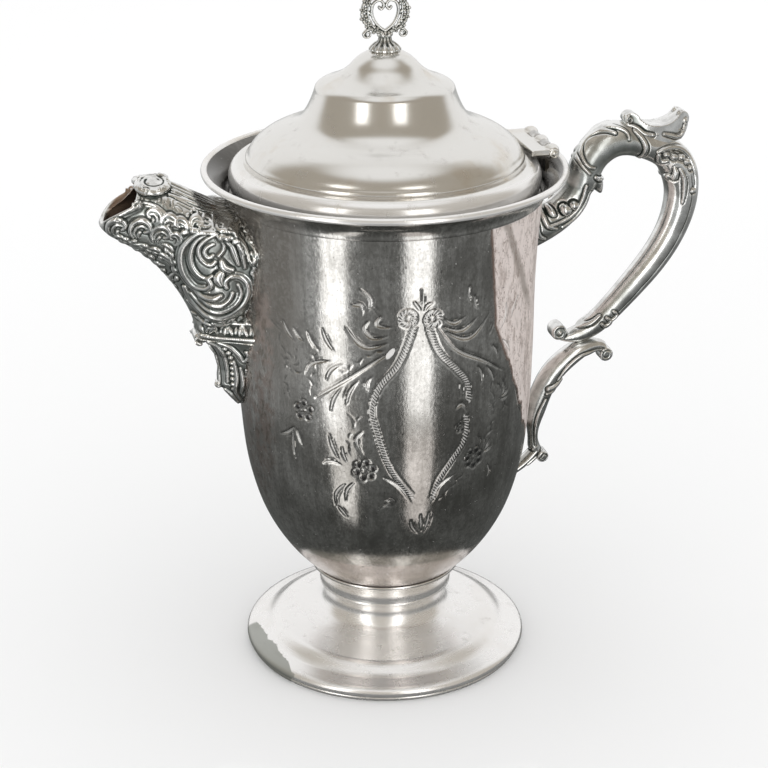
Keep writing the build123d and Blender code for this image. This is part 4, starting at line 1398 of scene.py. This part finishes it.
def spout():
    ridge = np.array(
        [
            (-109, 190), (-100, 201), (-91, 205), (-84, 202.5), (-76, 198), (-69, 193.8), (-62, 191.2),
            (-50, 190.4),
        ],
        float,
    )
    keel = np.array(
        [(-109, 187), (-100, 179), (-92.6, 173.6), (-86.3, 166.7), (-80.9, 158.5), (-77.2, 151), (-75, 141)],
        float,
    )

    def carve(points, normals):
        x, y, z = points.T
        outward = normals[:, 1] * np.sign(y)
        level = (z - np.interp(x, keel[:, 0], keel[:, 1])) / (
            np.interp(x, ridge[:, 0], ridge[:, 1]) - np.interp(x, keel[:, 0], keel[:, 1])
        )
        sides = smoothStep(outward, 0.1, 0.45)
        top = smoothStep(normals[:, 2], 0.45, 0.8) * smoothStep(level, 0.55, 0.65)
        beside = strokeField(x, z, spoutSideStrokes(), moat=0.4) * sides
        above = strokeField(x, abs(y), spoutTopStrokes(), moat=0.4) * top
        rise = np.where(abs(above) > abs(beside), above, beside)
        channel = (outward < -0.05) | ((normals[:, 2] > 0.3) & (level < 0.55))
        depth = smoothStep(np.interp(x, ridge[:, 0], ridge[:, 1]) - z, 3.0, 5.0)
        inside = channel * (z > 150) * (abs(y) < 11) * depth
        return rise - 0.15 * np.maximum(sides, top), {"inside": inside}

    tilt = radians(14)
    out = (0, cos(tilt), -sin(tilt))
    lift = np.array((0, sin(tilt), cos(tilt)))
    middle = np.array((-89.0, 3.7, 202.0))
    curls = [tube(spiral(middle + lift * 1.6, 5.5, 2.6, 200, 0.55, u=(1, 0, 0), v=out, inner=0.2), lift)]
    curls.append(ball(middle + lift * 1.7, 0.8))
    curls.append(tube(spiral(middle, 6.0, 1.0, 120, 1.1, 1.4, u=(1, 0, 0), v=out, inner=0.995), lift))
    small = np.array((-95.4, 8.6, 196.4))
    curls.append(ball(small, (2.0, 1.4, 2.0)))
    curls.append(tube(spiral(small + (0, 0.9, 0.3), 2.0, 1.4, 150, 0.55, inner=0.2), (0, 1, 0)))
    lipEdge = [
        (-94.6, 9.8, 196.6), (-99.4, 9.4, 194.6), (-103.8, 7.9, 192.2), (-106.5, 5.2, 190.0),
        (-107.7, 2.0, 188.2), (-107.9, 0, 187.9),
    ]
    lipWall = [
        (-94.6, 9.2, 195), (-99.2, 8.5, 193), (-103.4, 7.0, 190.8), (-106, 4.6, 188.8),
        (-107.2, 1.8, 187.4), (-107.4, 0, 187),
    ]
    # the ledge over the drop and the metal that fills the corner under the sides
    ledge = [(-74.2, 6.4), (-70, 9.2), (-62, 13.4), (-54, 17.6), (-49, 19.6)]
    for z, size in ((141.0, 0.55), (142.8, 0.8)):
        curls.append(tube([(x, y, z, size, size) for x, y in ledge]))
    for inward, z, size in ((2.4, 144.4, 3.0), (4.0, 147.0, 3.6), (5.0, 143.4, 3.2)):
        curls.append(tube([(x + inward * 0.6, y - inward * 0.9, z, size, size) for x, y in ledge]))
    curls.append(tube([(x, y, z, 0.9, 0.9) for x, y, z in lipEdge]))
    curls.append(tube([(x, y, z, 0.9, 0.9) for x, y, z in lipWall]))
    solids = [cadSolid("spout")] + mirrored(curls)
    piece = sculpt("castSpout", solids, 0.36, "pot", cast, ["spout"], carve, 2)
    thinOut(piece, 0.56)


def spoutDrop():
    strokes = [
        [
            (-76, 139.4, 0.9), (-70.8, 135.8, 0.9), (-68.6, 131.5, 0.9), (-67.6, 127, 0.8),
            (-67.2, 122.5, 0.8), (-67, 119.8, 0.7),
        ],
        [(-71, 138.9, 0.7), (-67.2, 136.3, 0.8), (-65, 132, 0.8), (-64, 126.5, 0.7), (-63.9, 121, 0.6)],
        [
            (-67.6, 139, 0.6), (-63.6, 137.6, 0.9), (-60.2, 134.2, 0.9), (-58.2, 131.3, 0.8),
            (-56.8, 133.6, 0.8), (-57.6, 136, 0.7),
        ],
        [(-61.8, 130.5, 0.6), (-60.5, 124, 0.9), (-60.8, 117, 0.8), (-58.8, 112.5, 0.6)],
        [(-59.4, 128, 0.5), (-58.4, 122.5, 0.9), (-58.8, 116.5, 0.6)],
        [(-57.2, 127.5, 0.6), (-56.6, 121.8, 0.9), (-57.4, 115, 0.5)],
        [(-64.5, 117, 0.7), (-61.8, 114, 0.9), (-59.6, 110.6, 0.7)],
    ]
    row = evenPath(
        smoothPath([(-66.6, 138.2), (-63.4, 133.6), (-62.2, 128), (-62, 122), (-61.6, 118)], 6), 2.5,
    )
    beads = [[(x - 0.05, z, 0.85), (x + 0.05, z - 0.05, 0.85)] for x, z in row]

    def carve(points, normals):
        x, y, z = points.T
        sides = smoothStep(normals[:, 1] * np.sign(y), 0.1, 0.5)
        return strokeField(x, z, strokes + beads, 0.9, moat=0.4) * sides - 0.2 * sides, {}

    solids = [cadSolid("spout_drop"), ball((-66.7, 0, 119), (1.6, 2.4, 1.6))]
    solids.append(tube(spiral((-74.3, 0, 140.2), 1.5, 1.0, 90, 0.7, 4.5), (0, 1, 0)))
    sculpt("drop", solids, 0.28, "pot", cast, ["spout_drop"], carve, 2)


spout()
spoutDrop()
print("spout made")


# Handle


# the two ridges of the C scroll at the handle's shoulder, read off an enlarged crop of the
# photograph in the crop's own pixels, with their half widths in mm
scrollCrop = {"corner": (530, 100), "scale": 15.68, "y": -6}
scrollRidges = {
    "outer": [
        (940, 1160), (810, 1010), (765, 870), (820, 730), (960, 570), (1180, 450), (1380, 440),
        (1530, 520), (1550, 620),
    ],
    "inner": [(1010, 1070), (900, 1030), (835, 900), (870, 720), (1000, 575), (1200, 495), (1340, 520)],
}
scrollWidths = {
    "outer": (0.5, 0.6, 0.7, 0.7, 0.7, 0.7, 0.6, 0.6, 0.5),
    "inner": (0.5, 0.6, 0.6, 0.6, 0.6, 0.7, 0.7),
}


def scrollStrokes():
    strokes = []
    for name, ridge in scrollRidges.items():
        pixels = np.array(scrollCrop["corner"]) + np.array(ridge) / scrollCrop["scale"]
        strokes.append(np.column_stack([onPlane(pixels, scrollCrop["y"]), scrollWidths[name]]))
    return strokes


# side strokes of the handle, in (x, z, half width)
def handleStrokes():
    return scrollStrokes() + [
        [(83, 193, 0.7), (85.4, 191.6, 0.9), (88, 191.8, 0.6)],
        [
            (98.4, 210.6, 0.6), (101.4, 207.4, 0.9), (103, 203.6, 1.0), (102.4, 200.2, 0.9),
            (100.4, 197.8, 0.6),
        ],
        [
            (108.2, 201.6, 0.7), (112.2, 202.9, 0.9), (117.4, 202.4, 0.9), (121.6, 199.4, 0.9),
            (124, 195, 0.8), (125.2, 190, 0.7), (125, 184, 0.5),
        ],
        [(108.6, 200.4, 0.8), (109.8, 197.2, 1.0), (112.2, 197.6, 0.7)],
        [(111.4, 200.4, 1.1), (111.8, 200.2, 1.1)],
        [(114.6, 199.4, 1.3), (115, 199.2, 1.3)],
        [(117.9, 199, 1.2), (118.3, 198.8, 1.2)],
        [(120.6, 197, 1.1), (120.8, 196.7, 1.1)],
        [(122.2, 194.2, 0.9), (122.3, 193.9, 0.9)],
        [(115.2, 194.8, 0.5), (115.9, 192.8, 1.0), (115.7, 190.6, 1.2)],
        [(113.4, 191, 0.9), (113.5, 190.4, 0.9)],
        [(117.6, 194, 0.5), (119.4, 190.4, 0.8), (120, 185, 0.8), (119.6, 180, 0.5)],
        [(123.8, 184.9, 0.9), (123.8, 184.4, 0.9)],
        [(58, 182.4, 0.8), (58.8, 176.6, 1.0), (60.6, 171, 0.9), (63, 169.6, 0.6)],
        [(61.2, 183.6, 0.6), (62, 179, 0.9), (64, 175, 0.9), (67.4, 173.6, 0.6)],
        [(64.6, 181.8, 0.9), (65.6, 180.2, 1.3), (66.6, 179.2, 0.8)],
        [(70.3, 181.6, 1.6), (71, 180.9, 1.6)],
        [(74, 182.8, 1.4), (74.4, 182.6, 1.4)],
        [(63.6, 174.8, 0.6), (70, 176.4, 0.8), (75, 179.4, 0.8), (78, 184.6, 0.8), (79.2, 189.8, 0.6)],
        [(70, 173.8, 0.5), (75.6, 176.8, 0.7), (79.4, 181.4, 0.7), (81.4, 187, 0.5)],
        [(90.6, 133.6, 0.6), (92.6, 131.2, 0.9), (90.4, 129.6, 0.8), (88.8, 131, 0.6)],
        [(93.4, 136.2, 0.5), (95, 134, 0.8), (93.6, 132.2, 0.6)],
        [(88, 134.4, 0.6), (84.6, 131.6, 0.8), (79.4, 130.2, 0.7), (74.6, 130.4, 0.5)],
    ]


# centre line of the handle below the shoulder, with its half thickness
gripLine = [
    (106, 204.2, 6), (113.4, 200.3, 6.6), (118.6, 194.4, 7), (121.2, 185, 6.9), (120.4, 175.5, 6.5),
    (117.4, 166.6, 6.1), (111.6, 156.6, 5.8), (102.8, 145.8, 5.4), (93.6, 135.9, 4.9),
    (84.6, 128.6, 4.2),
]


def handle():
    grip = evenPath(smoothPath(gripLine, 8), 1.0)
    slope = unit(np.gradient(grip[:, :2], axis=0))

    def carve(points, normals):
        x, z = points[:, 0], points[:, 2]
        sides = smoothStep(abs(normals[:, 1]), 0.12, 0.5)
        rise = strokeField(x, z, handleStrokes(), 0.85, moat=0.6) * sides
        near = np.flatnonzero((x > 84) & ((x > 108) | (z < 170)))
        gap = np.hypot(x[near, None] - grip[:, 0], z[near, None] - grip[:, 1])
        best = gap.argmin(1)
        shift = (x[near] - grip[best, 0]) * -slope[best, 1] + (z[near] - grip[best, 1]) * slope[best, 0]
        share = shift / grip[best, 2]
        fade = smoothStep(best * 1.0, 12, 24) * (1 - smoothStep(best * 1.0, len(grip) - 12, len(grip) - 2))
        groove = 0.55 * np.exp(-(((share - 0.38) / 0.075) ** 2))
        rise[near] = rise[near] - groove * fade * sides[near]
        return rise, {}

    solids = [cadSolid("handle")]
    solids += mirrored([tube(spiral((96.4, 5.7, 205.4), 1.9, 1.1, 20, 0.75), (0, 1, 0))])
    solids += mirrored([ball((70.6, 6.2, 181.2), 1.9), ball((74.2, 5.9, 182.7), 1.6)])
    solids += mirrored(
        [tube(spiral((71.4, 3.4, 128.4), 2.8, 1.7, 60, 0.7), (0, 1, 0)), ball((71.4, 3.6, 128.4), 0.9)]
    )
    solids.append(tube([(84.6, 0, 192, 1.8, 3.5), (86.3, 0, 188.4, 1.4, 2.6), (87.4, 0, 185.2, 0.5, 0.8)]))
    sculpt("castHandle", solids, 0.34, "pot", cast, ["handle"], carve, 3)


def thumbRest():
    look = {"narrow": 0.64}
    strokes = [
        [(96, 212.5, 0.6), (99.4, 211.4, 0.8), (103, 208.8, 0.9), (106, 208.2, 0.8)],
        [
            (110.6, 208.4, 0.6), (113.4, 207.6, 0.8), (116.8, 206.8, 0.9), (119, 208.8, 0.8),
            (119.8, 211.4, 0.6),
        ],
    ]

    def carve(points, normals):
        x, z = points[:, 0], points[:, 2]
        sides = smoothStep(abs(normals[:, 1]), 0.1, 0.5)
        return strokeField(x, z, strokes, 0.9, moat=0.5) * sides, {}

    points, faces = cadSolid("thumb_rest")
    solids = [(points * (1, look["narrow"], 1), faces), ball((96.5, 0, 215.0), (1.7, 2.6, 1.7))]
    frontCurl = spiral((97.0, 2.8, 214.4), 1.5, 1.3, 100, 0.5, 0.9)
    hook = [
        (104.8, 4.0, 209.6, 0.6, 0.7), (106.8, 4.4, 208.4, 0.9, 0.9), (109, 4.4, 208.6, 0.9, 0.9),
        (110.2, 4.2, 210.4, 0.7, 0.7), (108.8, 4.2, 211.2, 0.6, 0.6),
    ]
    curl = spiral((117.2, 4.0, 208.4), 1.7, 1.1, 200, 0.7)
    solids += mirrored(
        [
            tube(frontCurl), tube(hook), tube(curl), ball((118, 2.4, 215.4), (1.7, 1.6, 1.8)),
            ball((119.6, 2.9, 212.6), (1.4, 1.5, 1.6)),
        ]
    )
    sculpt("thumbRest", solids, 0.22, "pot", cast, ["thumb_rest"], carve, 3)


def handleBracket():
    strokes = [
        [(90.5, 119, 0.6), (86, 118.6, 0.8), (80.6, 117.8, 0.8), (75.2, 113.8, 0.8), (71.4, 108.4, 0.6)],
        [(67.2, 104.8, 1.0), (70.3, 105.6, 1.1), (73.2, 107.6, 0.9)],
        [(66.6, 102.6, 0.6), (69.3, 103.2, 0.7), (71.6, 104.9, 0.6)],
        [(66.2, 100, 0.6), (63.6, 93.6, 0.8), (62.6, 86.4, 0.8), (63, 80, 0.6)],
        [(60, 71, 0.6), (63, 73.4, 0.8), (65.8, 76.6, 0.7)],
    ]

    def carve(points, normals):
        x, z = points[:, 0], points[:, 2]
        sides = smoothStep(abs(normals[:, 1]), 0.1, 0.5)
        return strokeField(x, z, strokes, 0.8, moat=0.5) * sides, {}

    solids = [cadSolid("handle_bracket")]
    solids += mirrored(
        [
            tube(spiral((92, 2.8, 116.8), 2.4, 1.6, 100, 0.6), (0, 1, 0)),
            tube(spiral((66.3, 3.1, 74.2), 1.9, 1.4, 60, 0.6), (0, 1, 0)),
        ]
    )
    sculpt("bracket", solids, 0.24, "pot", cast, ["handle_bracket"], carve, 3)


handle()
thumbRest()
handleBracket()
print("handle made")


# Hinge: the lid's plate with its three knuckles, and the pin with its two heads


# a turned solid of the hinge line, from an outline of (radius, y)
def alongHinge(outline):
    grid, faces = turned(smoothPath(outline, 2), 40)
    return (grid[..., [0, 2, 1]] + (62, 0, 207)).reshape(-1, 3), faces


def hingeLeaf():
    look = {"top": 208.5, "low": 206.0, "half": 15.9}
    solids = []
    for start, end, low, high in (
        (53.4, 59.3, -15.9, 15.9), (58, 61.5, -15.9, -9.7), (58, 61.5, -3.1, 3.1), (58, 61.5, 9.7, 15.9),
    ):
        corners = [(start, low), (end, low), (end, high), (start, high)]
        points = [(x, y, look["low"] + 0.3) for x, y in corners] + [(x, y, look["top"]) for x, y in corners]
        solids.append(
            (
                np.array(points, float),
                [[3, 2, 1, 0], [4, 5, 6, 7], [0, 1, 5, 4], [1, 2, 6, 5], [2, 3, 7, 6], [3, 0, 4, 7]],
            )
        )
    for low in (-15.9, -3.1, 9.7):
        solids.append(
            alongHinge(
                [(0, low), (1.9, low), (2.3, low + 0.4), (2.3, low + 5.8), (1.9, low + 6.2), (0, low + 6.2)]
            )
        )
    sculpt("hingeLeaf", solids, 0.2, "lid", bright, ["hinge_lid_leaf"], None, 2)


def hingePin():
    head = [
        (1.0, 15.9), (1.0, 16.0), (1.75, 16.0), (1.85, 16.3), (1.7, 16.7), (1.35, 16.75), (1.2, 16.6),
        (0.95, 16.85), (0.5, 17.05), (0, 17.1),
    ]
    outline = np.array([(r, -y) for r, y in head[::-1]] + head, float)
    grid, faces = turned(outline, 48)
    points = grid[..., [0, 2, 1]] + (62, 0, 207)
    makePiece("hingePin", [(points, faces)], "pot", bright, ["hinge_pin"])


hingeLeaf()
hingePin()
print("hinge made")


# Finial


def finialBase():
    profileLine = [
        (5.9, 246.5), (6.1, 247.2), (5.4, 248.2), (4, 249.1), (2.9, 250.1), (2.5, 251.3), (2.4, 252.4),
    ]
    line = smoothPath(profileLine, 4)
    body = np.vstack([[(0, 246.45)], line, [(0, 252.6)]])
    grid, faces = turned(body, 72)
    turn = np.linspace(0, 2 * pi, 72, endpoint=False)
    flutes = 1 - 0.09 * (0.5 + 0.5 * np.cos(12 * turn))
    grid[1:-1, :, :2] *= flutes[None, :, None]
    solids = [(grid.reshape(-1, 3), faces)]
    for i in range(12):
        a = 2 * pi * (i + 0.5) / 12
        petal = [(5.4, 247.1, 0.8, 1.1), (4.6, 248.3, 0.6, 0.8), (3.2, 249.6, 0.4, 0.45)]
        solids.append(tube([(r * cos(a), r * sin(a), z, t, w) for r, z, t, w in petal], (-sin(a), cos(a), 0)))
    for i in range(6):
        a = 2 * pi * i / 6
        solids.append(ball((2.4 * cos(a), 2.4 * sin(a), 252.6), (0.7, 0.7, 1.0)))
    sculpt("finialBase", solids, 0.16, "lid", cast, ["finial_base"], None, 2, 0.6, 0.2)


# small flower facing front and back at (x, z): centre bead and round petals
def blossom(x, z, radius, petals, turn):
    solids = [ball((x, 0, z), (0.55, 1.9, 0.55), 8)]
    for i in range(petals):
        a = turn + 2 * pi * i / petals
        place = (x + 0.62 * radius * cos(a), 0, z + 0.62 * radius * sin(a))
        solids.append(ball(place, (0.42 * radius, 1.35, 0.42 * radius), 8))
    return solids


def finialWreath():
    middle, halfWide, halfHigh = 260.9, 8.3, 7.4
    solids = []
    heart = [
        (0, 253.9), (2.6, 255.9), (4.5, 258.7), (5.1, 261.8), (4.0, 264.6), (1.6, 265.2), (0.5, 263.2),
        (1.6, 262.0), (2.4, 263.0),
    ]
    for side in (1, -1):
        solids.append(tube([(side * x, 0, z, 0.62, 1.1) for x, z in heart]))
        outer = [(0.3, 253.2), (3.4, 254.6), (5.6, 257.2), (6.6, 261.4), (5.6, 265.2), (2.6, 267.4)]
        solids.append(tube([(side * x, 0, z, 0.45, 0.9) for x, z in outer]))
        foot = [(1.4, 251.9), (2.2, 253.4), (4.2, 254.5), (6.9, 254.4), (8.3, 253.0)]
        solids.append(tube([(side * x, 0, z, 0.55, 1.0) for x, z in foot]))
        solids.append(tube(spiral((side * 6.7, 0, 252.9), 1.6, side * -1.2, 90 - side * 80, 0.5, 1.0)))
        for low, high in ((256.6, 258.4), (259.6, 261.2), (263, 264.2)):
            solids.append(
                tube(
                    [
                        (side * 5.0, 0, low, 0.4, 0.8),
                        (side * 6.4, 0, (low + high) / 2 + 0.6, 0.7, 0.9),
                        (side * 7.6, 0, high, 0.4, 0.8),
                    ]
                )
            )
    for i in range(14):
        a = radians(-62 + 304 * i / 13)
        x, z = halfWide * cos(a), middle + halfHigh * sin(a)
        solids += blossom(x, z, 1.75 if i % 2 else 1.5, 5, a)
        b = a + radians(304 / 26)
        solids.append(
            ball(((halfWide + 0.5) * cos(b), 0, middle + (halfHigh + 0.4) * sin(b)), (0.75, 1.2, 0.75), 8)
        )
    for x in (-1.3, 0, 1.3):
        solids.append(ball((x, -0.9, 252.9), (0.65, 0.6, 1.0), 8))
        solids.append(ball((x, 0.9, 252.9), (0.65, 0.6, 1.0), 8))
    solids.append(ball((0, 0, 253.2), (1.6, 1.1, 1.5), 10))
    solids = [(part[0] * (1, 0.95, 1), part[1]) for part in solids]
    sculpt("finialWreath", solids, 0.15, "lid", cast, ["finial_wreath"], None, 1, 0.5, 0.2)


finialBase()
finialWreath()
print("finial made")


# Finish: CAD nodes that nothing stands for take their material
def dressNodes():
    finishes = {"bright_silver": bright, "aged_silver": aged, "cast_silver": cast, "raw_brass": brass}
    slots = {
        "lid_seat_ring": "aged_silver", "hinge_body_leaf": "aged_silver", "finial_stud": "raw_brass",
        "finial_washer": "raw_brass", "finial_nut": "raw_brass",
    }
    for name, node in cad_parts.items():
        node.data.materials.clear()
        node.data.materials.append(finishes[slots.get(name, "bright_silver")])


dressNodes()
